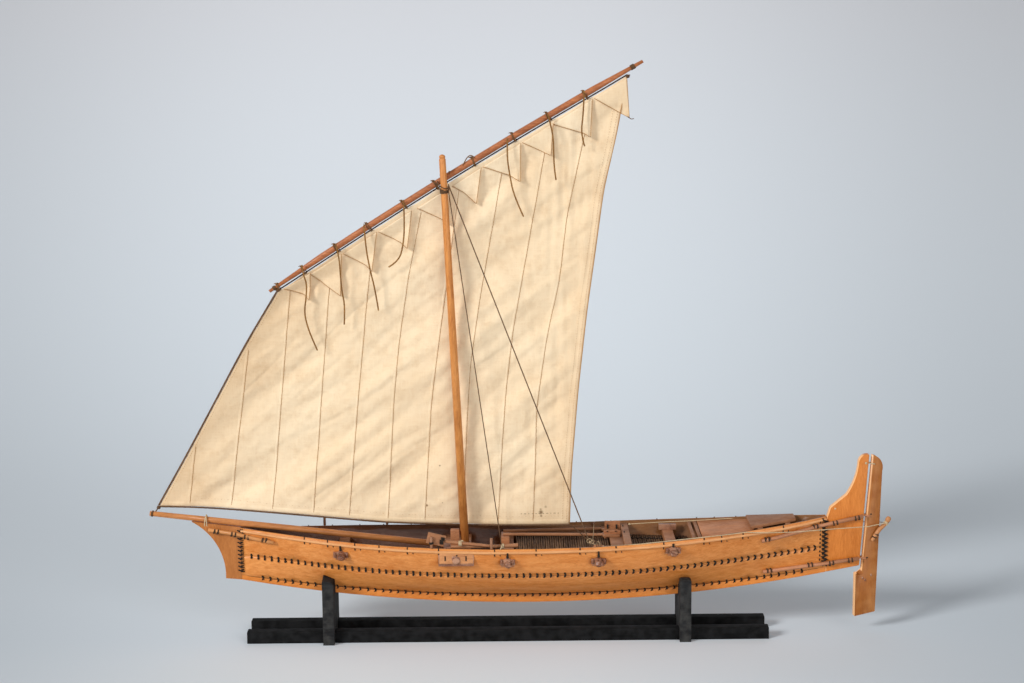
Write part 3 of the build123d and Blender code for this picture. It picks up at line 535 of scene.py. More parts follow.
# The threads of one tie: x and height from the sheer at both ends, and the radius.
TIE_THREADS = (((0.0, -1.0), (0.0, 0.1), 0.55), ((0.1, -5.9), (-0.1, -4.3), 0.55),
               ((5.2, -4.9), (5.4, -5.8), 0.4))
rail_wood = wood("rail_wood", (0.80, 0.40, 0.165), (0.58, 0.23, 0.070), (8.0, 60.0, 60.0),
                 figure=0.4, edge=0.5)
for side, side_name in ((-1, "port"), (1, "starboard")):
    dressed("rail_" + side_name, rail_wood, 0.35)
    knots = [sewn([(x + start[0], SHEER(x) + start[1]), (x + end[0], SHEER(x) + end[1])], side, radius)
             for x in RAIL_TIES for start, end, radius in TIE_THREADS]
    knots += [sewn([(x, z), (x + 0.5, z)], side, 0.42) for x, z in BOW_DOTS]
    joined("rail_ties_" + side_name, knots, coir)

# Through beams and their end blocks. Five beams cross the hull and come out through the upper
# strakes, where a knobbed block of darker wood with a strap up to the rail locks each end.
inner_wood = wood("inner_wood", (0.46, 0.19, 0.080), (0.20, 0.070, 0.028), (12.0, 34.0, 60.0),
                  figure=0.6, gloss=0.5, coat=0.02, edge=0.5, dust=0.12)
block_wood = wood("block_wood", (0.38, 0.140, 0.066), (0.060, 0.021, 0.011), (90.0, 90.0, 90.0),
                  figure=0.8, gloss=0.34, coat=0.24, edge=0.7, edge_colour=(0.66, 0.36, 0.22))
BEAMS = ["beam_" + where for where in ("bow", "mast", "middle", "aft", "stern")]
for beam in BEAMS:
    dressed(beam, inner_wood)
dressed("beam_end_blocks", block_wood, 0.55)
BLOCK_PLACES = ((-170.0, 88.6), (-13.0, 84.8), (72.0, 84.8), (142.0, 93.0))
LUG_SHIFT = 5.6
MAST_PLATE = (-61.0, 88.9)
END_TARGET = ray_target(["beam_end_blocks", *BEAMS])


def knob(centre, size, wobble, seed):
    """A rough round lump of carved wood. Its size, from the middle out, is in millimetres."""
    shape = bmesh.new()
    bmesh.ops.create_icosphere(shape, subdivisions=3, radius=1.0)
    verts = []
    for v in shape.verts:
        swell = 1.0 + wobble * noise.noise(v.co * 1.7 + Vector((seed, 0, 0)))
        verts.append(Vector((v.co.x * size[0], v.co.y * size[1], v.co.z * size[2])) * swell * MM + centre)
    faces = [tuple(v.index for v in f.verts) for f in shape.faces]
    shape.free()
    return verts, faces


def board_between(low, high, ease, seed):
    """A small hand-cut board between two corners, in millimetres, with eased and slightly wavy edges."""
    shape = bmesh.new()
    bmesh.ops.create_cube(shape, size=1.0)
    bmesh.ops.subdivide_edges(shape, edges=shape.edges, cuts=3, use_grid_fill=True)
    middle, size = (Vector(low) + Vector(high)) / 2, Vector(high) - Vector(low)
    for v in shape.verts:
        place = Vector((v.co.x * size.x, v.co.y * size.y, v.co.z * size.z)) + middle
        sway = noise.noise(place / 7.0 + Vector((seed, 0, 0))) * 0.35
        v.co = (place + Vector((sway * (abs(v.co.x) > 0.4), 0.0, sway * (abs(v.co.z) > 0.4)))) * MM
    bmesh.ops.bevel(shape, geom=sharp_corners(shape, 60.0), offset=ease * MM, segments=2, profile=0.6,
                    affect="EDGES")
    verts = [v.co.copy() for v in shape.verts]
    faces = [tuple(v.index for v in f.verts) for f in shape.faces]
    shape.free()
    return verts, faces


knobs, straps, plates = [], [], []
for side in (-1, 1):
    for number, (x, z) in enumerate(BLOCK_PLACES):
        face = on_side(END_TARGET, x, z, side)
        knobs.append(knob(face + mm(0.4, 0.0, -1.4), (4.0, 3.4, 3.3), 0.4, number + 5 * side))
        for lug in (-LUG_SHIFT, LUG_SHIFT):
            lug_place = on_side(END_TARGET, x + lug, z + 0.6, side)
            knobs.append(knob(lug_place, (1.5, 1.7, 2.6), 0.3, number + lug))
        strap = [on_side(HULL_TARGET, x, z + up, side, 0.5) for up in (3.2, 4.8, 6.4)]
        straps.append(tube([face, *strap], 1.15, 8))
        straps.append(sewn([(x, z + 6.6), (x, SHEER(x) - 3.6)], side, 1.0))
    x, z = MAST_PLATE
    face = on_side(END_TARGET, x - 13.0, z, side) / MM
    out, back = face.y + side * 0.45, face.y - side * 1.6
    plates.append(board_between((x - 15.6, min(out, back), z - 5.0), (x + 15.8, max(out, back), z + 5.0),
                                0.5, 2.0 * side))
    knobs.append(knob(mm(x - 0.5, face.y, z - 0.2), (4.0, 1.9, 3.0), 0.3, 3.0 * side))
    # A dark bar on each of the plate's two slots is painted shade where the slot goes in.
    for painted_slot_shade_x in (x - 10.3, x + 9.2):
        straps.append(tube([mm(painted_slot_shade_x, out, z + up) for up in (-2.2, 0.0, 2.2)], 0.62, 8))
    straps.append(tube([mm(x + 0.3, out, z + 2.4), mm(x + 0.9, out, z + 3.6)], 0.6))
joined("beam_knobs", knobs, block_wood)
joined("beam_straps", straps, coir)
plate_wood = wood("plate_wood", (0.66, 0.300, 0.120), (0.40, 0.150, 0.050), (14.0, 60.0, 60.0),
                  figure=0.6, edge=0.8)
mast_plates = joined("mast_beam_plates", plates, plate_wood)
mast_plates.data.set_sharp_from_angle(angle=SHADED_SHARP)

# Rods lashed along bow and stern. Thin canes lie along the upper strake at the bow and run from
# the quarters past the fin to the rudder, each whipped on by pairs of dark turns.
cane = wood("cane", (0.55, 0.235, 0.110), (0.27, 0.100, 0.045), (9.0, 70.0, 70.0), figure=0.5,
            gloss=0.36, coat=0.08, edge=0.2)
bow_cane = wood("bow_cane", (0.66, 0.29, 0.095), (0.42, 0.155, 0.040), (9.0, 70.0, 70.0), figure=0.4,
                gloss=0.36)
rod_cord = fibre("rod_cord", (0.12, 0.065, 0.035), (0.022, 0.012, 0.007))
ROD_RADIUS = 1.8
WHIPPING_SHIFT = 1.7
STEPS_A_TURN = 14


def along(route, x):
    """The height at x on a line of (x, z) points."""
    for (xa, za), (xb, zb) in zip(route, route[1:]):
        if x <= xb:
            return za + (zb - za) * (x - xa) / (xb - xa)
    return route[-1][1]


def wrapped(centre, axis, core, cord_radius, turns, seed=0, pitch=2.0):
    """Turns of cord wound round a core, both ends tucked in under them. The radii are in millimetres."""
    axis = axis.normalized()
    across = axis.orthogonal().normalized()
    over = axis.cross(across)
    steps = int(turns * STEPS_A_TURN)
    points = []
    for i in range(steps + 1):
        turn = 2 * math.pi * (i / STEPS_A_TURN + seed)
        out = core * (0.55 if i in (0, steps) else 1.0)
        shift = (i / STEPS_A_TURN - turns / 2) * pitch * cord_radius
        points.append(centre + ((across * math.cos(turn) + over * math.sin(turn)) * out + axis * shift) * MM)
    return tube(points, cord_radius)


# Each pair of rods: its line, the places of its whippings, and its finish.
RODS = {
    "rods_bow": (((-297.5, 108.0), (-268.0, 102.7), (-251.0, 99.8), (-234.5, 97.2)),
                 (-289.8, -273.5, -261.2, -243.9), bow_cane),
    "rods_stern_upper": (((227.0, 96.8), (246.0, 100.2), (266.0, 103.8), (284.0, 107.0), (325.6, 115.2)),
                         (232.7, 280.3, 299.0, 320.0), cane),
    "rods_stern_lower": (((230.5, 62.3), (256.0, 65.2), (284.0, 68.6), (322.2, 73.5)),
                         (236.5, 276.0, 296.0, 314.4), cane),
}
for rod_name, (route, ties, finish) in RODS.items():
    dressed(rod_name, finish, 0.0, sharp_over=60.0)
    rod_target = ray_target([rod_name])
    whipping = []
    for side in (-1, 1):
        for x in ties:
            centre = on_side(rod_target, x, along(route, x), side, -ROD_RADIUS)
            direction = Vector((1.0, 0.0, (along(route, x + 2) - along(route, x - 2)) / 4))
            for shift in (-WHIPPING_SHIFT, WHIPPING_SHIFT):
                spot = centre + direction * shift * MM
                whipping.append(wrapped(spot, direction, ROD_RADIUS + 0.25, 0.42, 2.2, x * 0.13, 1.3))
    joined(rod_name + "_whipping", whipping, rod_cord)

# Mast, step, chock and tack spar. Round spars of a redder wood, shaved by hand and oiled. The
# spar lies across the stem head, where pale cord lashes it down and brown cord whips its tip.
spar_wood = wood("spar_wood", (0.80, 0.33, 0.090), (0.46, 0.150, 0.030), (50.0, 50.0, 6.0), figure=0.7,
                 gloss=0.36, coat=0.12, edge=0.25)
lying_spar_wood = wood("lying_spar_wood", (0.64, 0.255, 0.075), (0.34, 0.115, 0.034), (6.0, 60.0, 50.0),
                       figure=0.6, coat=0.08)
brown_cord = fibre("brown_cord", (0.25, 0.135, 0.060), (0.075, 0.036, 0.016))
pale_cord = fibre("pale_cord", (0.74, 0.60, 0.40), (0.46, 0.33, 0.18))
MAST_HEEL = mm(-51.6, 0.0, 47.5)
MAST_HEAD = mm(-69.9, 0.0, 459.8)
mast_run = (MAST_HEAD - MAST_HEEL).normalized()
dressed("mast", spar_wood, 0.0, sharp_over=80.0)
dressed("mast_step", inner_wood, 0.4)
dressed("mast_chock", inner_wood, 0.4)
dressed("tack_spar", lying_spar_wood, 0.0, sharp_over=80.0)
head_cap = knob(MAST_HEAD, (2.9, 2.9, 2.4), 0.05, 1.0)
joined("mast_head_round", [head_cap], spar_wood)
SPAR_SLOPE = -0.125
SPAR_RUN = Vector((1.0, 0.0, SPAR_SLOPE))
STEM_TURNS = ((-300.6, 0.9), (-299.2, -0.5))
SPAR_ON_STEM = (-297.0, 116.7)
ABOVE_SPAR, UNDER_SPAR, BESIDE_SPAR = 3.9, 8.6, 4.6
stem_lashing = []
for x, lean in STEM_TURNS:
    middle = Vector((x, 0.0, SPAR_ON_STEM[1] + SPAR_SLOPE * (x - SPAR_ON_STEM[0])))
    ring = []
    for k in range(25):
        turn = 2 * math.pi * k / 24
        reach = UNDER_SPAR if math.sin(turn) < 0 else ABOVE_SPAR
        out = Vector((lean * math.sin(turn), BESIDE_SPAR * math.cos(turn), reach * math.sin(turn)))
        ring.append((middle + out) * MM)
    stem_lashing.append(tube(ring, 0.5))
joined("stem_lashing", stem_lashing, pale_cord)
joined("spar_whipping", [wrapped(mm(-350.8, 0.0, 123.0), SPAR_RUN, 2.75, 0.42, 2.0, -350.8),
                         wrapped(mm(-78.0, -5.8, 92.4), SPAR_RUN, 3.4, 0.55, 3.0)], brown_cord)

# Yard. A long light spar, full in the middle and thin at both tips, slung across the mast near
# its head by several turns of brown cord, with a whipping at each tip.
yard_wood = wood("yard_wood", (0.56, 0.190, 0.066), (0.27, 0.080, 0.026), (7.0, 60.0, 42.0), figure=0.7,
                 gloss=0.36, coat=0.12, edge=0.25)
slim_yard = dressed("yard", yard_wood, 0.0, sharp_over=80.0)
YARD_Y = 7.9
SHAVED = 0.87
YARD_FULL, YARD_THINNER = 3.4, 1.7
FULL_FROM, FULL_TO = -185.0, 70.0
FORE_TAPER, AFT_TAPER = 48.9, 45.8


def arch_through(first, middle, last):
    """The height at x of the round line through three (x, z) points, whichever way it bends."""
    flipped = arc_through(*((x, -z) for x, z in (first, middle, last)))
    return lambda x: -flipped(x)


YARD_LINE = arch_through((-233.9, 334.7), (-70.0, 438.4), (115.8, 545.6))


def yard_place(x):
    """The middle of the yard at some x in millimetres."""
    return mm(x, YARD_Y, YARD_LINE(x))


def yard_thickness(x):
    """The radius of the yard in millimetres: full in its middle, thin at both tips."""
    tapered = max(0.0, (FULL_FROM - x) / FORE_TAPER, (x - FULL_TO) / AFT_TAPER)
    return SHAVED * (YARD_FULL - YARD_THINNER * tapered)


for v in slim_yard.data.vertices:
    v.co = yard_place(v.co.x / MM).lerp(v.co, SHAVED)
lashings = []
for x, turns in ((-229.0, 3.0), (106.5, 4.5)):
    run = yard_place(x + 2) - yard_place(x - 2)
    lashings.append(wrapped(yard_place(x), run, yard_thickness(x) + 0.4, 0.5, turns, x))
CROSSING = Vector((-68.6, 3.9, 438.0))
# Each turn over the crossing of mast and yard: its height, lean and reach, and the step it starts at.
CROSSING_TURNS = ((-3.8, -4.6, 5.4, 0), (-6.4, -5.2, 5.4, 0), (6.4, 3.4, 4.3, 14), (4.0, 3.8, 4.3, 14))
for high, lean, reach, first in CROSSING_TURNS:
    ring = []
    for k in range(first, 29):
        turn = 2 * math.pi * k / 28
        out = Vector((reach * math.cos(turn) + lean * 0.2, -9.0 * math.sin(turn),
                      high + lean * (math.sin(turn) * 0.55 + math.cos(turn) * 0.5)))
        ring.append((CROSSING + out) * MM)
    lashings.append(tube(ring, 0.55))
for down, seed in ((31.3, -9.5), (32.6, -10.8)):
    lashings.append(wrapped(MAST_HEAD - mast_run * down * MM, mast_run, 3.75, 0.5, 2.2, seed))
joined("yard_lashings", lashings, brown_cord)

# Sail. A settee sail of thin ecru cotton in narrow upright cloths sewn edge to edge, hemmed, roped
# on luff, head and foot, with a row of pointed flaps along its head. Old creases and stains.
SAIL_Y = 7.9
LUFF = ((-345.0, 128.6), (-316.0, 178.5), (-287.0, 230.5), (-257.0, 284.5), (-225.5, 335.0))
HEAD_BELOW_YARD = 5.9
HEAD = ((-225.5, 335.0), *((x, YARD_LINE(x) - HEAD_BELOW_YARD) for x in range(-190, 81, 45)), (101.5, 532.5))
FOOT = ((-345.0, 128.6), (-311.0, 127.8), (-278.0, 125.4), (-239.0, 121.7), (-187.6, 116.6), (-128.4, 110.8),
        (-58.4, 107.9), (-0.9, 106.6), (46.8, 106.6))
LEECH = ((46.8, 106.6), (48.8, 159.2), (55.4, 237.1), (64.0, 313.8), (72.1, 370.6), (79.7, 426.8),
         (92.6, 482.4), (101.5, 532.5))
TIE_XS = (-226.0, -202.0, -170.6, -139.9, -106.7, -77.2, -41.7, -4.1, 28.2, 62.4, 99.0)
CORNER_ROUNDINGS = 12


def walked(route, step):
    """Points along a line of (x, z) points, a step apart, with its corners rounded off."""
    runs = [math.dist(a, b) for a, b in zip(route, route[1:])]
    count = max(4, round(sum(runs) / step))
    points = []
    for i in range(count + 1):
        left = sum(runs) * i / count
        number = 0
        while number < len(runs) - 1 and left > runs[number]:
            left -= runs[number]
            number += 1
        share = left / runs[number]
        a, b = route[number], route[number + 1]
        points.append((a[0] + (b[0] - a[0]) * share, a[1] + (b[1] - a[1]) * share))
    for _ in range(CORNER_ROUNDINGS):
        points = [points[0], *(((p[0] + 2 * q[0] + r[0]) / 4, (p[1] + 2 * q[1] + r[1]) / 4)
                               for p, q, r in zip(points, points[1:], points[2:])), points[-1]]
    return points


# Layers of soft relief: how high, how long and how wide each is in millimetres, and its seed.
FOLDS = ((5.6, 190.0, 30.0, 1.5), (2.2, 80.0, 12.5, 7.0))
CREASES = ((1.0, 150.0, 21.0, 12.0),)
LEECH_WRINKLES = ((1.7, 6.5, 70.0, 3.0),)
CRUMPLES = ((0.45, 6.0, 6.5, 9.0), (0.16, 2.2, 2.4, 2.0))
BELLY = 3.6


def layered(a, b, layers):
    """The height of some layers of soft relief at a place."""
    return sum(high * noise.noise(Vector((a / long, b / wide, seed))) for high, long, wide, seed in layers)


def relief_of_cloth(x, z, free):
    """How far the cloth lies off its plane. The long soft folds run from the tack up to the peak."""
    along_fold = x * 0.80 + z * 0.60
    over_fold = -x * 0.60 + z * 0.80
    folds = layered(along_fold, over_fold, FOLDS)
    folds += 1.6 * (0.35 - min(0.35, 2.2 * abs(layered(along_fold, over_fold, CREASES))))
    near_leech = max(0.0, min(1.0, (x + 20.0) / 60.0))
    folds += near_leech * layered(x, z, LEECH_WRINKLES)
    return (BELLY + folds) * free + layered(x, z, CRUMPLES) * min(1.0, 0.25 + free)


SAIL_COLUMNS = 210
SAIL_ROWS = 195
foot_line = walked(FOOT, 390.0 / SAIL_COLUMNS)
head_line = walked(HEAD, 382.0 / SAIL_COLUMNS)
luff_line = walked(LUFF, 238.0 / SAIL_ROWS)
leech_line = walked(LEECH, 430.0 / SAIL_ROWS)


def picked(line, share):
    """The point at a share of the way along a line of points."""
    spot = share * (len(line) - 1)
    low = min(int(spot), len(line) - 2)
    return Vector(line[low]).lerp(Vector(line[low + 1]), spot - low)


def leech_at(z):
    """The x of the sail's aft edge at some height."""
    return along([(height, x) for x, height in LEECH], z)


def head_sag(x):
    """Between two ties the head of the sail hangs a little below its rope."""
    for a, b in zip(TIE_XS, TIE_XS[1:]):
        if a <= x <= b:
            return 0.9 * math.sin(math.pi * (x - a) / (b - a))
    return 0.0


sail_verts, sail_faces = [], []
corners = [Vector(FOOT[0]), Vector(FOOT[-1]), Vector(HEAD[0]), Vector(HEAD[-1])]
for row in range(SAIL_ROWS + 1):
    v = row / SAIL_ROWS
    for column in range(SAIL_COLUMNS + 1):
        u = column / SAIL_COLUMNS
        spot = picked(foot_line, u) * (1 - v) + picked(head_line, u) * v
        spot += picked(luff_line, v) * (1 - u) + picked(leech_line, v) * u
        spot -= (corners[0] * (1 - u) + corners[1] * u) * (1 - v)
        spot -= (corners[2] * (1 - u) + corners[3] * u) * v
        free = min(1.0, 9 * u, 14 * (1 - u) + 0.25, 10 * v + 0.15, 10 * (1 - v))
        off = relief_of_cloth(spot.x, spot.y, max(0.0, free))
        droop = head_sag(spot.x) * max(0.0, 1 - 14 * (1 - v))
        sail_verts.append(mm(spot.x, SAIL_Y + max(-1.6, off), spot.y - droop))
for row in range(SAIL_ROWS):
    for column in range(SAIL_COLUMNS):
        a = row * (SAIL_COLUMNS + 1) + column
        sail_faces.append((a, a + 1, a + SAIL_COLUMNS + 2, a + SAIL_COLUMNS + 1))
SAIL_TARGET = BVHTree.FromPolygons(sail_verts, sail_faces)

weave_group, weave_in, weave_out = new_group(
    "plain_weave", {"Place": "Vector", "Count": "Float"}, {"Height": "Float"})
threads = []
for axis in ("X", "Z"):
    along_axis = part_of(weave_group, weave_in["Place"], axis)
    counted = worked(weave_group, "MULTIPLY", along_axis, weave_in["Count"])
    threads.append(worked(weave_group, "SINE", counted))
crossed = worked(weave_group, "MULTIPLY", *threads)
weave_group.links.new(spread_out(weave_group, crossed, -1.0, 1.0), weave_out["Height"])

WEAVE_COUNT = 5200.0
STAINS = ((19.3, 118.3, 2.6), (19.5, 114.8, 1.5), (19.0, 121.4, 1.5), (24.0, 123.6, 1.9),
          (30.4, 124.0, 1.4), (-75.0, 173.9, 1.2), (-67.3, 179.9, 0.9), (-76.8, 165.2, 1.0),
          (-89.7, 126.4, 1.3), (-74.8, 129.0, 0.9), (-77.1, 333.5, 1.4), (-46.3, 155.8, 1.0),
          (-40.0, 362.0, 1.1))
STAIN_BROWN = (0.16, 0.085, 0.032)
# Painted shade on the cloth: a start (x, z), the way into the sail, two depths and a tint. The first darkens
# along the luff, the second towards the clew, the last a band along the foot.
PAINTED_CLOTH_SHADE = (((-345.0, 128.6), (0.865, -0.501), 56.0, 4.0, (0.82, 0.74, 0.66)),
          ((50.0, 106.6), (-0.985, 0.17), 50.0, 6.0, (0.84, 0.78, 0.72)),
          ((-150.0, 107.0), (0.0, 1.0), 16.0, 1.0, (0.90, 0.86, 0.80)))


def cloth(name, pale, deep):
    """Old cotton: a plain weave, slubs along both ways of the cloth, yellowed patches, stains and painted
    shade.
    """
    finish, tree, shader, place = new_finish(name, Roughness=0.92, Sheen_Weight=0.12, Sheen_Roughness=0.5,
                                             Specular_IOR_Level=0.2)
    upright = noise_in(tree, stretched(tree, place, (1.0, 1.0, 0.10)), 700.0)
    level = noise_in(tree, stretched(tree, place, (0.10, 1.0, 1.0)), 700.0)
    slubs = times(tree, spread_out(tree, upright, 0.35, 0.65), spread_out(tree, level, 0.35, 0.65))
    yellowed = spread_out(tree, noise_in(tree, place, 9.0, 5.0, 0.6, 0.8), 0.36, 0.68)
    dirty = spread_out(tree, noise_in(tree, place, 60.0, 6.0, 0.7), 0.50, 0.76, 0.0, 0.35)
    soft_slubs = spread_out(tree, slubs, 0.0, 1.0, 0.0, 0.30)
    age = worked(tree, "MULTIPLY_ADD", yellowed, 0.45, soft_slubs, clamp=True)
    colour = mixed(tree, age, pale, deep)
    colour = mixed(tree, dirty, colour, (deep[0] * 0.72, deep[1] * 0.64, deep[2] * 0.55))
    uneven = spread_out(tree, yellowed, 0.0, 1.0, 0.7, 1.0)
    # Painted shade over parts of the cloth, broken up by the yellowed noise.
    for start, way, near, far, tint in PAINTED_CLOTH_SHADE:
        gone = put(tree, "ShaderNodeVectorMath", {"operation": "SUBTRACT"},
                   {0: place, 1: mm(start[0], 0.0, start[1])}).outputs["Vector"]
        depth = put(tree, "ShaderNodeVectorMath", {"operation": "DOT_PRODUCT"},
                    {0: gone, 1: (way[0], 0.0, way[1])}).outputs["Value"]
        shade = times(tree, spread_out(tree, depth, near * MM, far * MM), uneven)
        colour = mixed(tree, shade, colour, mixed(tree, 1.0, colour, tint, "MULTIPLY"))
    ragged = spread_out(tree, noise_in(tree, place, 420.0), 0.25, 0.50, 0.45, 1.0)
    for x, z, size in STAINS:
        gap = put(tree, "ShaderNodeVectorMath", {"operation": "DISTANCE"},
                  {0: place, 1: mm(x, SAIL_Y, z)}).outputs["Value"]
        blot = spread_out(tree, gap, size * 1.1 * MM, size * 0.3 * MM)
        colour = mixed(tree, times(tree, blot, ragged), colour, STAIN_BROWN)
    tree.links.new(colour, shader.inputs["Base Color"])
    weave = put(tree, "ShaderNodeGroup", {"node_tree": weave_group}, {"Place": place, "Count": WEAVE_COUNT})
    rough_face = worked(tree, "MULTIPLY_ADD", slubs, 0.9, weave.outputs["Height"])
    embossed(tree, shader, rough_face, 0.35, 0.22)
    return finish


def thickened(piece, thickness):
    """Gives a skin of cloth its thickness in millimetres, half of it to each side."""
    body = piece.modifiers.new("cloth thickness", "SOLIDIFY")
    body.thickness = thickness * MM
    body.offset = 0.0


sailcloth = cloth("sailcloth", (0.90, 0.715, 0.485), (0.79, 0.555, 0.325))
hem_cloth = cloth("hem_cloth", (0.92, 0.74, 0.51), (0.76, 0.53, 0.30))
seam_thread = fibre("seam_thread", (0.58, 0.310, 0.115), (0.40, 0.200, 0.070))
sail = add_mesh("sail_cloth", sail_verts, sail_faces, sailcloth)
thickened(sail, 0.4)
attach(sail, "root")
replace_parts(sail, "sail")


def cloth_strip(route, half_width, lift, side):
    """A folded strip of cloth that lies on the sail along some (x, z) points."""
    verts, faces = [], []
    for i, (x, z) in enumerate(route):
        before, after = route[max(i - 1, 0)], route[min(i + 1, len(route) - 1)]
        run = Vector((after[0] - before[0], after[1] - before[1])).normalized()
        for across, up in ((-1.0, 0.1), (-0.75, lift), (0.0, lift * 1.15), (0.75, lift), (1.0, 0.1)):
            spot = (x - run.y * across * half_width, z + run.x * across * half_width)
            verts.append(on_side(SAIL_TARGET, *spot, side, up))
    for i in range(len(route) - 1):
        for k in range(4):
            a = i * 5 + k
            faces.append((a, a + 1, a + 6, a + 5))
    return verts, faces


def stitched(route, side, lift, length=1.5, step=2.5, radius=0.2, lean=0.35):
    """A row of short running stitches over the cloth along some (x, z) points."""
    threads = []
    run = (Vector(route[-1]) - Vector(route[0])).normalized() * length / 2
    for i, (x, z) in enumerate(walked(route, step)[1:-1]):
        sway = lean * (1 if i % 2 else -1)
        threads.append(tube([on_side(SAIL_TARGET, x + way * (run.x + sway), z + way * run.y, side,
                                     lift + (-0.15 if way else 0.15)) for way in (-1, 0, 1)], radius, 4))
    return threads


SEAMS = (
    ((-317.5, 128.6), (-310.9, 178.3), (-309.5, 187.0)),
    ((-278.2, 125.9), (-267.9, 201.9), (-257.9, 269.4), (-256.5, 280.0)),
    ((-238.6, 122.3), (-227.2, 230.6), (-215.7, 337.0)),
    ((-199.5, 118.3), (-189.3, 230.2), (-179.1, 336.8), (-175.7, 361.9)),
    ((-165.5, 115.0), (-154.3, 229.9), (-143.9, 325.6), (-136.7, 384.0)),
    ((-128.2, 112.0), (-120.8, 224.7), (-114.5, 284.8), (-105.1, 344.2), (-91.6, 409.0)),
    ((-93.0, 110.0), (-85.2, 224.3), (-77.7, 279.2), (-68.3, 343.9), (-56.0, 430.0)),
    ((-56.4, 108.6), (-51.3, 209.5), (-47.5, 263.5), (-37.6, 326.5), (-14.5, 452.0)),
    ((-22.9, 107.8), (-17.9, 189.0), (-14.0, 237.5), (-6.9, 295.7), (2.0, 343.2), (26.5, 476.0)),
    ((10.4, 107.4), (13.5, 171.2), (14.7, 219.9), (25.1, 288.7), (37.2, 342.9), (44.4, 403.1), (63.5, 490.0)),
)
inset_leech = [(x - 2.9, max(z, 109.6)) for x, z in LEECH[:-1]] + [(96.0, 518.0)]
second_leech = [(x - 7.2, max(z, 109.6)) for x, z in LEECH[:-1]] + [(90.5, 514.0)]
inset_foot = [(-341.0, 130.6), *((x, z + 2.6) for x, z in FOOT[1:-1]), (43.0, 109.4)]
second_foot = [(x, z + 7.6) for x, z in FOOT[1:-1]] + [(42.0, 114.2)]
inset_luff = [(x + 1.9, z - 1.2) for x, z in LUFF]
# Each hem: its line, half its width, and its lift off the sail.
HEMS = ((inset_leech, 2.3, 0.42), (second_leech, 0.8, 0.25), (inset_foot, 2.0, 0.40))
# Each row of stitches: its line, then lift, length, step and radius.
HEM_ROWS = ((inset_leech, 0.42, 1.4, 2.4, 0.2), (second_leech, 0.22, 1.4, 2.4, 0.16),
            (second_foot, 0.1, 1.3, 3.1, 0.14), (inset_luff, 0.1, 1.4, 2.4, 0.2))
strips, seam_stitches = [], []
for side in (-1, 1):
    for number, seam in enumerate(SEAMS):
        wavy = [(x + 0.5 * noise.noise(Vector((z / 9.0, number, 0))), z) for x, z in walked(seam, 2.5)]
        strips.append(cloth_strip(wavy, 1.25, 0.32, side))
        beside = [(x + 1.15, z) for x, z in wavy]
        seam_stitches.extend(stitched(beside, side, 0.22, 2.5, 2.6, 0.32, 0.06))
    for route, half_width, lift in HEMS:
        strips.append(cloth_strip(walked(route, 2.5), half_width, lift, side))
    for route, *sizes in HEM_ROWS:
        seam_stitches.extend(stitched(route, side, *sizes))
seam_stitches.append(tube([mm(x - 0.2, SAIL_Y, z) for x, z in walked(LEECH, 4.0)], 0.42))
sail_seams = joined("sail_seams", strips, hem_cloth)
seam_sewing = joined("seam_sewing", seam_stitches, seam_thread)
CLEW_ROW = ((-3.0, 117.0), (39.4, 117.2))
clew_sewing = joined("clew_sewing", stitched(CLEW_ROW, -1, 0.15, 1.9, 3.4, 0.24), brown_cord)

# Left corner at the head, a point on the lower edge, tip, and right corner at the head, as (x, z).
FLAPS = (
    ((-220.2, 336.9), (-202.6, 331.4), (-197.3, 325.9), (-195.1, 351.8)),
    ((-195.6, 350.5), (-181.6, 339.9), (-167.9, 329.8), (-165.6, 369.6)),
    ((-164.2, 369.6), (-143.5, 358.4), (-138.1, 352.6), (-132.2, 389.8)),
    ((-130.7, 389.8), (-110.0, 379.2), (-104.6, 373.8), (-99.2, 409.6)),
    ((-94.1, 411.6), (-72.2, 401.0), (-65.6, 395.9), (-63.9, 430.9)),
    ((-61.2, 431.9), (-50.3, 425.6), (-39.5, 415.2), (-34.0, 449.0)),
    ((-32.6, 449.6), (-8.4, 441.6), (1.6, 435.6), (2.9, 471.4)),
    ((4.3, 471.8), (20.6, 464.2), (30.1, 459.7), (33.0, 489.6)),
    ((32.0, 488.6), (61.5, 479.9), (66.7, 476.3), (69.2, 511.4)),
    ((71.0, 512.0), (95.7, 497.9), (102.8, 494.2), (101.0, 530.6)),
)
FLAP_ROWS = 18
FLAP_COLUMNS = 16


def flap(number, side):
    """A pointed flap of cloth that hangs from the head, and the cords of its two upright edges. The aft
    edge stands off the sail."""
    left, low, tip, right = (Vector(corner) for corner in FLAPS[number])
    stand_off = 4.2 if number < len(FLAPS) - 1 else 1.0
    low_share = (low - left).length / ((low - left).length + (tip - low).length)
    verts, faces, rims = [], [], ([], [])
    for i in range(FLAP_ROWS + 1):
        t = i / FLAP_ROWS
        if t < low_share:
            lower = left.lerp(low, t / low_share)
        else:
            lower = low.lerp(tip, (t - low_share) / (1 - low_share))
        upright = right.lerp(tip + Vector((0.5, 0.1)), t)
        for k in range(FLAP_COLUMNS + 1):
            s = k / FLAP_COLUMNS
            x, z = lower.lerp(upright, s)
            sway = noise.noise(Vector((x / 11.0, z / 15.0, number * 3.1)))
            hang = 0.5 + (0.4 + t) * (0.7 + 0.8 * sway) + (0.8 + stand_off * t) * s * s
            base = on_side(SAIL_TARGET, min(x, leech_at(z) - 1.5), min(z, along(HEAD, x) - 1.0), side)
            verts.append(Vector((x * MM, base.y + side * hang * MM, z * MM)))
            if k in (0, FLAP_COLUMNS):
                rims[k > 0].append(verts[-1] + mm(0, side * 0.28, 0))
    for i in range(FLAP_ROWS):
        for k in range(FLAP_COLUMNS):
            a = i * (FLAP_COLUMNS + 1) + k
            faces.append((a, a + 1, a + FLAP_COLUMNS + 2, a + FLAP_COLUMNS + 1))
    return (verts, faces), [tube(rim, 0.26, 5) for rim in rims]


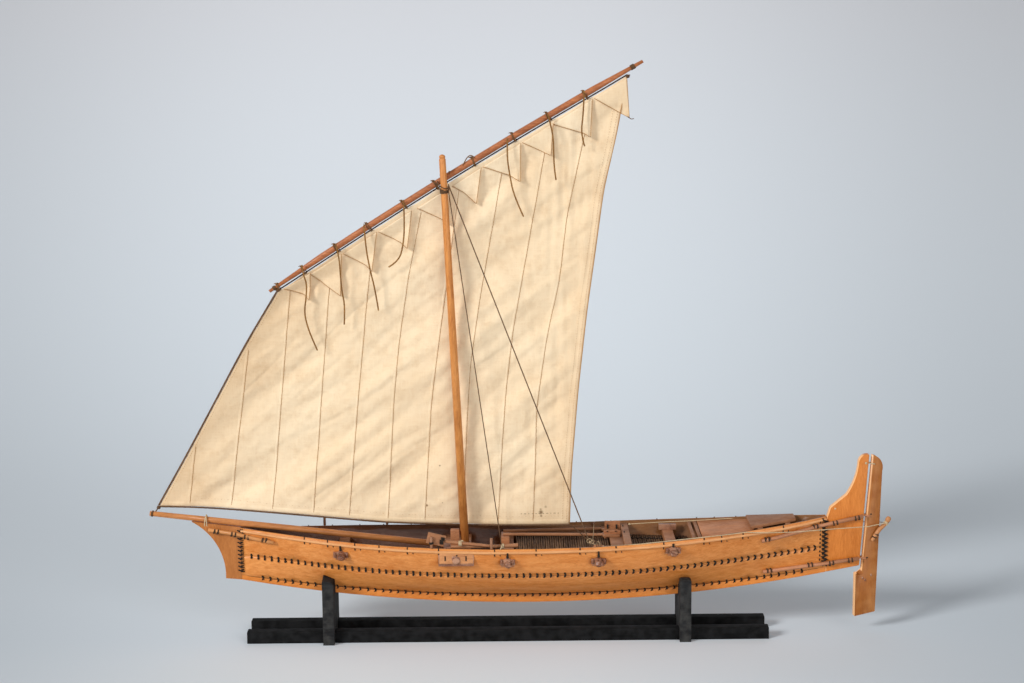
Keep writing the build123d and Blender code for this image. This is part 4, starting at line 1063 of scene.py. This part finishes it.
flap_skins, flap_rims = [], []
for number in range(len(FLAPS)):
    skin, rims = flap(number, -1)
    flap_skins.append(skin)
    flap_rims.extend(rims)
flaps = joined("sail_flaps", flap_skins, hem_cloth)
thickened(flaps, 0.35)
flap_edges = joined("sail_flap_edges", flap_rims, seam_thread)


def stranded(points, radius, pitch=5.0, strands=3):
    """The twisted strands of a rope along some points. Radius and pitch are in millimetres."""
    runs = [0.0]
    for a, b in zip(points, points[1:]):
        runs.append(runs[-1] + (b - a).length)
    count = max(8, int(runs[-1] / MM / pitch * 7))
    centre, number = [], 0
    for i in range(count + 1):
        at = runs[-1] * i / count
        while number < len(runs) - 2 and at > runs[number + 1]:
            number += 1
        share = (at - runs[number]) / max(1e-9, runs[number + 1] - runs[number])
        centre.append(points[number].lerp(points[number + 1], share))
    heading = (centre[1] - centre[0]).normalized()
    across = heading.orthogonal().normalized()
    frames = []
    for i, point in enumerate(centre):
        heading = (centre[min(i + 1, count)] - centre[max(i - 1, 0)]).normalized()
        across = (across - heading * across.dot(heading)).normalized()
        frames.append((point, across.copy(), heading.cross(across)))
    parts = []
    for strand in range(strands):
        spiral = []
        for i, (point, side_way, over) in enumerate(frames):
            turn = 2 * math.pi * (strand / strands + runs[-1] * i / count / MM / pitch)
            spiral.append(point + (side_way * math.cos(turn) + over * math.sin(turn)) * radius * 0.52 * MM)
        parts.append(tube(spiral, radius * 0.56, 5))
    return parts


tarred_rope = fibre("tarred_rope", (0.27, 0.145, 0.070), (0.075, 0.036, 0.018))
dark_rope = fibre("dark_rope", (0.10, 0.050, 0.026), (0.030, 0.015, 0.008))
luff_rope = [mm(x - 0.9, SAIL_Y, z + 0.5) for x, z in walked(LUFF, 6.0)]
foot_rope = [mm(x, SAIL_Y, z - 0.8) for x, z in walked(FOOT, 6.0)]
rope_strands = stranded(luff_rope, 0.95, 4.4) + stranded(foot_rope, 0.85, 4.0)
bolt_ropes = joined("bolt_ropes", rope_strands, tarred_rope)
rope_line = Vector((HEAD[-1][0] - HEAD[0][0], 0.0, HEAD[-1][1] - HEAD[0][1])).normalized()
ROPE_ABOVE_HEAD = 0.8
above_head = Vector((-rope_line.z, 0.0, rope_line.x)) * ROPE_ABOVE_HEAD * MM
head_run = [mm(x, YARD_Y, z) + above_head for x, z in walked(HEAD, 6.0)]
head_rope = joined("head_rope_laid", stranded(head_run, 0.7, 3.6), dark_rope)
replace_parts(head_rope, "head_rope")
# The ties at tack, throat and peak: a place, the way they wind about, and the core.
CORNER_TIES = ((-346.0, 127.0, (0.4, 0, 1), 1.4), (-226.0, 336.0, (0.6, 0, 1), 1.5),
               (102.0, 532.0, (0.3, 0, 1), 1.4))
corner_turns = [wrapped(mm(x, SAIL_Y, z), Vector(axis), core, 0.5, 3.0, x)
                for x, z, axis, core in CORNER_TIES]
corner_turns.append(tube([mm(-346.0, SAIL_Y, 127.0), mm(-348.5, 3.0, 124.0), mm(-349.5, 0.5, 122.8)], 0.6))
corner_turns.append(tube([mm(101.5, SAIL_Y - 3.2, 495.0), mm(105.0, SAIL_Y - 3.4, 492.8),
                          mm(107.4, SAIL_Y - 3.4, 493.2)], 0.4))
joined("sail_corner_ties", corner_turns, brown_cord)

# Yard ties. Short brown cords hold the head rope under the yard, each with its knot on top. Seven
# have kept a long limp tail, which hangs down before the sail.
def settled(route):
    """The points of the smooth line that a limp cord takes along a route, both in metres."""
    line = bpy.data.curves.new("route", "CURVE")
    line.dimensions = "3D"
    run = line.splines.new("NURBS")
    run.points.add(len(route) - 1)
    for point, place in zip(run.points, route):
        point.co = (*place, 1.0)
    run.order_u = 3
    run.use_endpoint_u = True
    run.resolution_u = 10
    holder = bpy.data.objects.new("route", line)
    traced = bpy.data.meshes.new_from_object(holder)
    points = [v.co.copy() for v in traced.vertices]
    bpy.data.objects.remove(holder)
    bpy.data.meshes.remove(traced)
    bpy.data.curves.remove(line)
    return points


tie_cord = fibre("tie_cord", (0.30, 0.155, 0.060), (0.11, 0.048, 0.018), 700.0)
ties = []
for number, x in enumerate(TIE_XS[:-1]):
    run = (yard_place(x + 2) - yard_place(x - 2)).normalized()
    above = Vector((-run.z, 0.0, run.x))
    thick = yard_thickness(x) + 0.55
    fall = (YARD_LINE(x) - along(HEAD, x)) * rope_line.x - ROPE_ABOVE_HEAD + 1.2
    for turn_number in range(2):
        ring = []
        for k in range(27):
            turn = 2 * math.pi * k / 26
            drop = fall if math.sin(turn) < 0 else thick + 0.1
            narrow = 1.0 - 0.45 * max(0.0, -math.sin(turn))
            lean = (turn_number - 0.5) * (1.2 + 0.6 * math.cos(turn + number)) + 0.6 * math.sin(turn + number)
            out = run * lean + above * drop * math.sin(turn) + Vector((0, thick * narrow * math.cos(turn), 0))
            ring.append(yard_place(x) + out * MM)
        ties.append(tube(ring, 0.42))
    knot_place = yard_place(x) + above * (thick + 0.1) * MM + mm(0, -0.9, 0)
    ties.append(knob(knot_place, (1.25, 1.1, 0.9), 0.35, number * 1.7))
    ties.append(tube([knot_place, knot_place + (above * 1.1 - run) * MM,
                      knot_place + (above - run * 2.2) * MM], [0.42, 0.38, 0.25]))
loose_turn = [yard_place(-51.0 + 0.95 * k) + mm(0, -2.6, 1.4 + 5.4 * math.sin(math.pi * k / 12))
              for k in range(13)]
ties.append(tube(loose_turn, 0.5))
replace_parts(joined("yard_ties_wound", ties, tie_cord), "yard_ties")

TAILS = {
    "tail_1": ((-202.4, 2.6, 360.0), (-201.2, 1.0, 351.0), (-198.2, 1.0, 343.0), (-199.0, 1.6, 330.0),
               (-201.2, 2.0, 317.0), (-199.6, 2.2, 305.0), (-195.0, 2.4, 291.0), (-190.0, 2.6, 279.0)),
    "tail_2": ((-170.4, 2.6, 380.0), (-167.2, 1.0, 367.0), (-166.6, 1.0, 350.0), (-165.6, 1.6, 334.0),
               (-163.0, 2.4, 322.0), (-164.2, 2.6, 303.5)),
    "tail_3": ((-143.6, 2.6, 397.5), (-142.6, 1.0, 378.0), (-139.0, 1.0, 356.0), (-134.4, 2.0, 336.0),
               (-131.8, 2.6, 316.5)),
    "tail_4": ((-106.4, 2.6, 420.0), (-105.8, 1.0, 398.0), (-107.2, 1.0, 379.0), (-111.6, 2.0, 363.0),
               (-121.4, 2.6, 357.4)),
    "tail_5": ((-9.4, 2.6, 476.0), (-10.2, 1.0, 461.0), (-7.8, 1.2, 443.0), (-4.0, 2.0, 423.0),
               (4.8, 2.6, 403.6)),
    "tail_6": ((28.0, 2.6, 498.0), (32.6, 1.0, 481.0), (33.2, 1.4, 463.0), (33.4, 2.0, 450.0),
               (35.2, 2.6, 437.4)),
    "tail_7": ((61.6, 2.6, 519.0), (60.8, 1.0, 500.0), (58.2, 1.2, 479.0), (61.8, 2.6, 468.4)),
}
TAIL_DIAMETER = 1.5
tail_cord = fibre("tail_cord", (0.50, 0.255, 0.070), (0.15, 0.062, 0.016), 900.0)
for tail_name, route in TAILS.items():
    fall_line = settled([mm(*place) for place in route])
    tail = joined(tail_name, stranded(fall_line, TAIL_DIAMETER / 2, 3.2), tail_cord)

# Halyards and sheet. Three lines of twisted dark cord set tight from the mast head and the clew
# down into the boat. The aft halyard ends in pale loops round a wooden toggle at the port rail.
LINES = {
    "halyard_fore": ((-65.0, -3.9, 433.0), (-18.5, -0.5, 86.5), 0.50),
    "halyard_aft": ((-64.6, -4.3, 435.0), (64.2, -40.2, 101.0), 0.58),
    "sheet_line": ((47.6, 7.9, 106.2), (66.6, 7.9, 88.2), 0.60),
}
for line_name, (high, low, radius) in LINES.items():
    laid = [mm(*Vector(high).lerp(Vector(low), i / 20)) for i in range(21)]
    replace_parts(joined(line_name + "_laid", stranded(laid, radius, 3.8), tarred_rope), line_name)
loop_cord = fibre("loop_cord", (0.60, 0.44, 0.26), (0.20, 0.12, 0.060))


def loop_of(centre, axis, size, radius, flat=0.8):
    """One slack loop of cord round an axis. Size and radius are in millimetres."""
    axis = Vector(axis).normalized()
    across = axis.orthogonal().normalized()
    over = axis.cross(across) * flat
    points = []
    for k in range(21):
        turn = 2 * math.pi * k / 20
        points.append(centre + (across * math.cos(turn) + over * math.sin(turn)) * size * MM)
    return tube(points, radius)


LINE_FOOT = mm(63.6, -40.8, 103.4)
LINE_END = ((2.0, 0.0, -1.6), (4.4, -0.6, -3.2), (7.0, -0.2, -3.0), (9.0, 0.4, -5.6))
LINE_ACROSS = ((71.0, 39.5, 98.4), (70.8, 30.0, 99.6), (70.0, 14.0, 98.6), (68.4, -6.0, 94.4),
               (65.8, -30.0, 97.4), (64.2, -40.0, 101.6))
joined("halyard_loops", [
    loop_of(LINE_FOOT, (0.2, 1.0, 0.3), 2.6, 0.38),
    loop_of(LINE_FOOT + mm(2.6, -0.4, -1.0), (-0.4, 1.0, 0.3), 2.3, 0.38, 0.7),
    loop_of(LINE_FOOT + mm(8.6, 0.4, -3.6), (0.9, 0.7, -0.3), 3.0, 0.38, 0.6),
    tube([LINE_FOOT + mm(*step) for step in LINE_END], 0.38),
    knob(LINE_FOOT + mm(0.6, 0.0, -1.2), (1.1, 0.9, 1.2), 0.4, 4.0),
    tube([mm(*place) for place in LINE_ACROSS], 0.36)], loop_cord)
TOGGLE_PLACE = mm(72.2, -40.2, 97.0)
joined("halyard_toggle", [knob(TOGGLE_PLACE, (5.4, 3.0, 3.2), 0.2, 9.0)], inner_wood)
joined("toggle_cord", [loop_of(TOGGLE_PLACE + mm(shift, 0, 0.2), (1, 0, 0.2), 3.5, 0.45, 0.9)
                       for shift in (-1.6, 0.4, 2.2)], brown_cord)
joined("far_rail_knot", [knob(mm(71.0, 40.6, 98.0), (1.6, 1.4, 2.0), 0.3, 2.0)], block_wood)

# Floor mats. Thin split sticks lie side by side across the boat on the through beams, tied into a
# mat by looped chains of dark thread.
reed = wood("reed", (0.25, 0.130, 0.062), (0.045, 0.020, 0.009), (60.0, 8.0, 60.0), figure=0.8, gloss=0.6,
            coat=0.0, edge=0.1, dust=0.04)
# Each mat: its fore and aft ends, its count of sticks, and the places of its chains across the boat.
MATS = (("floor_mat_fore", -5.0, 84.6, 41, (-0.86, 0.86)), ("floor_mat_aft", 101.4, 161.0, 27, (-0.90, 0.60)))
MAT_TOP = 87.6
STICK_RADII = [0.78, 0.86, 0.9, 0.88, 0.9, 0.85, 0.76]
for mat_name, fore, aft, count, chain_shares in MATS:
    mat_target = ray_target([mat_name])
    sticks, chains, reaches = [], [], []
    pitch = (aft - fore) / count
    for i in range(count):
        x = fore + (i + 0.5) * pitch
        reach = min(abs(on_side(mat_target, x, MAT_TOP - 0.8, side).y) for side in (-1, 1)) / MM - 0.3
        reaches.append(reach)
        sway = random.uniform(-0.3, 0.3)
        lift = random.uniform(-0.12, 0.12)
        line = [mm(x + sway * math.sin(k * 1.3 + i), reach * (k - 3) / 3, MAT_TOP - 0.78 + lift)
                for k in range(7)]
        sticks.append(tube(line, STICK_RADII, 8))
        if i % 2:
            split = [p + mm(pitch / 2, 0.0, -0.25) for p in line[1:-1]]
            sticks.append(tube(split, 0.42))
    for share in chain_shares:
        chain = []
        for i in range(count * 8):
            spot = i / 8
            chain.append(mm(fore + (spot + 0.2) * pitch + 0.7 * math.sin(2 * math.pi * spot),
                            reaches[int(spot)] * share + 1.25 * math.cos(math.pi * spot),
                            MAT_TOP + 0.32 + 0.35 * math.sin(2 * math.pi * spot)))
        chains.append(tube(chain, 0.42, 5))
    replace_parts(joined(mat_name + "_sticks", sticks, reed), mat_name)
    joined(mat_name + "_chain", chains, coir)

# Thwarts, stern deck and aft seat. Thin boards of the same reddish wood as the beams, dusty on top
# and never varnished. The high thwart has three slots cut through it.
deck_wood = wood("deck_wood", (0.62, 0.240, 0.088), (0.30, 0.100, 0.034), (12.0, 40.0, 60.0), figure=0.5,
                 gloss=0.55, coat=0.0, edge=0.6)
dressed("stern_deck", deck_wood, 0.3)
thwart_wood = wood("thwart_wood", (0.36, 0.150, 0.062), (0.17, 0.062, 0.025), (12.0, 40.0, 60.0), figure=0.5,
                   gloss=0.55, coat=0.0, edge=0.6)
for board in ("thwart_low", "thwart_high", "deck_beams", "aft_seat", "seat_bearers"):
    dressed(board, thwart_wood, 0.3)
dressed("stern_chock", block_wood, 0.4)
# Each slot is shown by a dark bar laid in it as painted shade.
SLOT_PLACES = ((99.0, 30.0), (99.0, 8.0), (91.0, 22.0))
slot_target = ray_target(["thwart_high", "thwart_low"])
slots = []
for x, y in SLOT_PLACES:
    hit = slot_target.ray_cast(mm(x, y, 130.0), Vector((0, 0, -1)))[0]
    if hit is not None:
        slots.append(tube([hit + mm(0, end, -0.35) for end in (-2.4, 2.4)], 0.75, 8))
joined("thwart_slot_painted_shades", slots, coir)

# Oars, pole, crutch and thole pins. Light whittled oars lie inside the boat with their blades
# lashed on, and the pins on the rail hold them by thin ties.
oar_wood = wood("oar_wood", (0.40, 0.175, 0.078), (0.21, 0.080, 0.032), (8.0, 60.0, 60.0), figure=0.5,
                gloss=0.45, coat=0.04, edge=0.5)
pin_wood = wood("pin_wood", (0.40, 0.20, 0.11), (0.18, 0.075, 0.04), (60.0, 60.0, 12.0), figure=0.6,
                gloss=0.5, coat=0.0, edge=0.5)
for oar in ("oar_port", "oar_starboard_inner", "oar_starboard_outer", "pole_port"):
    dressed(oar, oar_wood, 0.25, sharp_over=50.0)
dressed("thole_pins", pin_wood, 0.0, sharp_over=70.0)
dressed("oar_crutch", inner_wood, 0.4)
OAR_RUN = Vector((1.0, 0.0, -0.113))
OAR_BLADES = (((79.6, 11.8, 90.8), (95.8, 13.6, 98.8)), ((81.4, 32.6, 92.2), (96.6, 34.4, 102.4)))
blade_boards = joined("oar_blade_boards", [board_between(*corners, 0.4, number)
                                           for number, corners in enumerate(OAR_BLADES)], inner_wood)
blade_boards.data.set_sharp_from_angle(angle=SHADED_SHARP)
black_turns = [wrapped(mm(-74.0, -40.7, 105.0), OAR_RUN, 3.2, 0.6, 3.0, 0.3)]
for x in (84.4, 93.0):
    black_turns.append(tube([mm(x, 31.8, z) for z in (94.0, 96.6, 99.2)], 0.85, 8))
for x in (83.0, 91.0):
    black_turns.append(tube([mm(x, 11.4, 98.4), mm(x + 0.2, 11.2, 97.6)], 0.6, 8))
black_turns.append(wrapped(mm(-84.0, -43.8, 103.4), Vector((0, 0, 1)), 1.7, 0.5, 2.0))
joined("oar_lashings", black_turns, coir)
joined("oar_ties", [
    wrapped(mm(-57.0, -40.9, 102.4), OAR_RUN, 2.1, 0.5, 3.0, 0.1),
    wrapped(mm(-17.5, -38.4, 98.5), Vector((1, 0, 0)), 2.1, 0.5, 2.5, 0.2),
    tube([mm(-17.5, -40.2, 99.6), mm(-18.4, -43.0, 99.2), mm(-19.6, -46.4, 97.6)], 0.5),
    tube([mm(-57.0, -42.6, 103.6), mm(-55.4, -43.6, 106.0), mm(-54.0, -43.9, 105.0)], 0.45)], pale_cord)

# Rudder and tiller. A narrow deep board, bevelled along its leading edge and tied to the fin by
# lacings through holes. The club-shaped tiller is lashed to its port face and has a line to each rail.
# The rudder's fore tone is a painted highlight on its forward-looking faces, and its pale edge colour is
# partly rubbed wear and partly painted highlight.
rudder_wood = wood("rudder_wood", (0.37, 0.118, 0.016), (0.24, 0.066, 0.006), (60.0, 60.0, 8.0), figure=0.5,
                   gloss=0.36, coat=0.12, dust=0.0, edge=0.5, edge_colour=(0.90, 0.50, 0.20),
                   fore=(0.92, 0.50, 0.22))
tiller_wood = wood("tiller_wood", (0.58, 0.26, 0.100), (0.32, 0.120, 0.040), (8.0, 60.0, 60.0), figure=0.5,
                   gloss=0.45, coat=0.04, edge=0.5)
dressed("tiller", tiller_wood, 0.2, sharp_over=60.0)
blade_target = ray_target(["rudder_blade"])
fin_target = ray_target(["stern_fin"])
HINGE_LOW = Vector((324.4, 0.0, 68.0))
HINGE_HIGH = Vector((332.3, 0.0, 174.3))
HELM = math.radians(10.0)


def hinge_at(z):
    """The place of the rudder's turning line at some height, in millimetres."""
    return HINGE_LOW.lerp(HINGE_HIGH, (z - HINGE_LOW.z) / (HINGE_HIGH.z - HINGE_LOW.z))


def with_helm(x, y, z):
    """Where a point of the straight rudder lies when the helm is over, in metres."""
    turn = Matrix.Rotation(HELM, 3, HINGE_HIGH - HINGE_LOW)
    return (turn @ (Vector((x, y, z)) - HINGE_LOW) + HINGE_LOW) * MM


def on_leading_edge(place):
    """Whether a corner of the turned blade, in millimetres, lies on the edge towards the fin."""
    back = Matrix.Rotation(-HELM, 3, HINGE_HIGH - HINGE_LOW)
    straight = back @ (place - HINGE_LOW) + HINGE_LOW
    return straight.x - hinge_at(straight.z).x < (3.2 if straight.z > 62.0 else -3.0)


dressed("rudder_blade", rudder_wood, 0.5, pared=on_leading_edge)


def across_hinge(name, parts, finish):
    """One mesh of several skins that runs between the fin and the rudder."""
    piece = add_mesh(name, *merged(parts), finish)
    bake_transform(piece)
    return piece


# Each lacing: its height, its finish and the radius of its cord. The top one is knotted.
LACINGS = ((166.6, pale_cord, 0.55), (115.6, cane, 1.05), (74.0, cane, 1.0))
for number, (z, cord_finish, thread) in enumerate(LACINGS):
    fin_x, blade_x = hinge_at(z).x - 4.2, hinge_at(z).x + 4.4
    laced = []
    for side in (-1, 1):
        fore = on_side(fin_target, fin_x, z, side, 0.25)
        rear = on_side(blade_target, blade_x, z - 1.4, side, 0.25)
        between = (hinge_at(z - 0.6) + Vector((0, side * 1.6, 0))) * MM
        start = on_side(fin_target, fin_x, z, side, -1.0)
        end = on_side(blade_target, blade_x, z - 1.4, side, -1.0)
        laced.append(tube([start, fore, fore.lerp(between, 0.6), between, between.lerp(rear, 0.5), rear, end],
                          thread))
        if number == 0:
            laced.append(knob(fore, (1.1, 0.7, 1.1), 0.2, number))
    lacing = across_hinge("rudder_lacing_%d" % (number + 1), laced, cord_finish)
    if number == 0:
        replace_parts(lacing, "rudder_lacings")
# Dark discs laid on the blade are painted shade standing for the inside of the lacing holes.
HOLES = ((333.4, 116.2), (330.6, 73.4))
joined("lacing_hole_painted_shades", [knob(on_side(blade_target, x, z, side, -0.1), (1.2, 0.35, 0.8), 0.1, z)
                        for side in (-1, 1) for x, z in HOLES], rod_cord, "rudder")
PLUGS = ((326.5, 54.5), (334.8, 57.0), (329.0, 52.5))
joined("rudder_plugs", [tube([on_side(blade_target, x, z, side, -0.2),
                              on_side(blade_target, x + 0.6, z - 2.2, side, -0.2)], 0.8, 8)
                        for side in (-1, 1) for x, z in PLUGS], block_wood, "rudder")
joined("fin_plug", [knob(on_side(fin_target, 299.2, 122.3, side, -0.1), (0.9, 0.4, 0.9), 0.1, 1.0)
                    for side in (-1, 1)], pale_cord)
tiller_foot = with_helm(335.2, -5.1, 92.6)
tiller_knee = with_helm(341.4, -5.4, 101.8)
tiller_neck = with_helm(347.6, -5.4, 107.4)
tiller_turns = []
for share in (0.15, 0.45):
    spot = tiller_foot.lerp(tiller_knee, share)
    tiller_turns.append(wrapped(spot, tiller_knee - tiller_foot, 1.95, 0.26, 1.6, share))
    tiller_turns.append(tube([spot + mm(-2.6, 1.6, -0.8), spot + mm(-1.2, -2.0, 0.6),
                              spot + mm(1.4, -2.2, 0.2), spot + mm(3.0, 1.4, -1.6)], 0.28))
joined("tiller_lashing", tiller_turns, coir, "rudder")
joined("tiller_neck_band", [wrapped(tiller_neck, tiller_neck - tiller_knee, 1.95, 0.5, 2.5, 0.4)],
       pale_cord, "rudder")

# Steering lines. A thin pale line leads from the tiller's neck past the blade along each quarter,
# over the rail and forward inside the boat to the aft beam, where it is tied off.
LINE_RADIUS = 0.42
port_line = [tiller_neck + mm(-1.0, -1.6, 0.2), *(mm(*place) for place in (
    (330.0, -9.0, 105.9), (300.0, -13.8, 105.4), (260.0, -23.0, 105.2), (232.0, -28.0, 105.9),
    (211.6, -30.6, 107.4), (190.0, -34.6, 106.0), (156.8, -39.6, 104.2), (137.5, -41.8, 102.8),
    (111.3, -43.2, 100.6), (92.1, -42.8, 99.3), (76.3, -41.5, 98.0)))]
far_line = [tiller_neck + mm(0.6, 1.2, 0.2), with_helm(346.4, 0.5, 106.4), with_helm(341.0, 5.0, 106.2)]
far_line += [mm(*place) for place in (
    (318.0, 9.5, 105.6), (300.0, 13.8, 105.4), (260.0, 23.0, 105.2), (240.0, 26.6, 106.4),
    (222.0, 26.6, 106.2), (201.0, 28.0, 105.0), (165.0, 27.0, 103.4), (135.0, 26.4, 102.6),
    (104.8, 26.0, 101.0))]
for line_name, route in (("steering_line_port", port_line), ("steering_line_starboard", far_line)):
    across_hinge(line_name, stranded(route, LINE_RADIUS, 2.6), pale_cord)
joined("steering_line_knots", [knob(route[-1] + mm(0.4, 0, 0), (1.1, 0.9, 0.9), 0.3, number)
                               for number, route in enumerate((port_line, far_line))], pale_cord)

# Stand. Two square bars with two upright cradle boards let down over them, cut to the hull's round
# and painted a dull black, which has rubbed grey along the edges and gathers dust on top.
STAND_DUST = (0.24, 0.24, 0.25)


def stand_paint(name, black, rubbed, wear, dust):
    """Dull black paint with brush marks, rubbed to a paler grey along its edges."""
    finish, tree, shader, place = new_finish(name, Specular_IOR_Level=0.06)
    worn = put(tree, "ShaderNodeGroup", {"node_tree": handled_group}, {
        "Place": stretched(tree, place, (14.0, 14.0, 14.0)), "Edge": wear, "Dust": dust}).outputs
    brushed = noise_in(tree, stretched(tree, place, (30.0, 500.0, 500.0)), 1.0, 4.0, 0.6)
    colour = mixed(tree, spread_out(tree, brushed, 0.35, 0.7), black, [c * 2.0 for c in black])
    colour = mixed(tree, worn["Edge"], colour, rubbed)
    colour = mixed(tree, worn["Dust"], colour, STAND_DUST)
    tree.links.new(colour, shader.inputs["Base Color"])
    tree.links.new(spread_out(tree, brushed, 0.3, 0.7, 0.62, 0.80), shader.inputs["Roughness"])
    embossed(tree, shader, brushed, 0.25, 0.2)
    return finish


bar_paint = stand_paint("bar_paint", (0.0035, 0.0035, 0.0035), (0.024, 0.024, 0.025), 0.7, 0.0)
cradle_paint = stand_paint("cradle_paint", (0.013, 0.013, 0.0135), (0.060, 0.058, 0.054), 0.6, 0.03)
# How much the top of each board's near arm is cut down, in millimetres, and how much it slants aft.
CRADLE_TOPS = {"cradle_fore": (2.6, 0.25), "cradle_aft": (2.2, 0.05)}
for board, paint, ease in (("stand_bar_port", bar_paint, 0.6), ("stand_bar_starboard", bar_paint, 0.6),
                           ("cradle_fore", cradle_paint, 0.5), ("cradle_aft", cradle_paint, 0.5)):
    painted = dressed(board, paint, ease)
    if board in CRADLE_TOPS:
        cut, slant = CRADLE_TOPS[board]
        near_arm = [v for v in painted.data.vertices if v.co.y < -12 * MM and v.co.z > 40 * MM]
        top, fore = max(v.co.z for v in near_arm), min(v.co.x for v in near_arm)
        for v in near_arm:
            if v.co.z > top - 4 * MM:
                v.co.z -= cut * MM + slant * (v.co.x - fore)
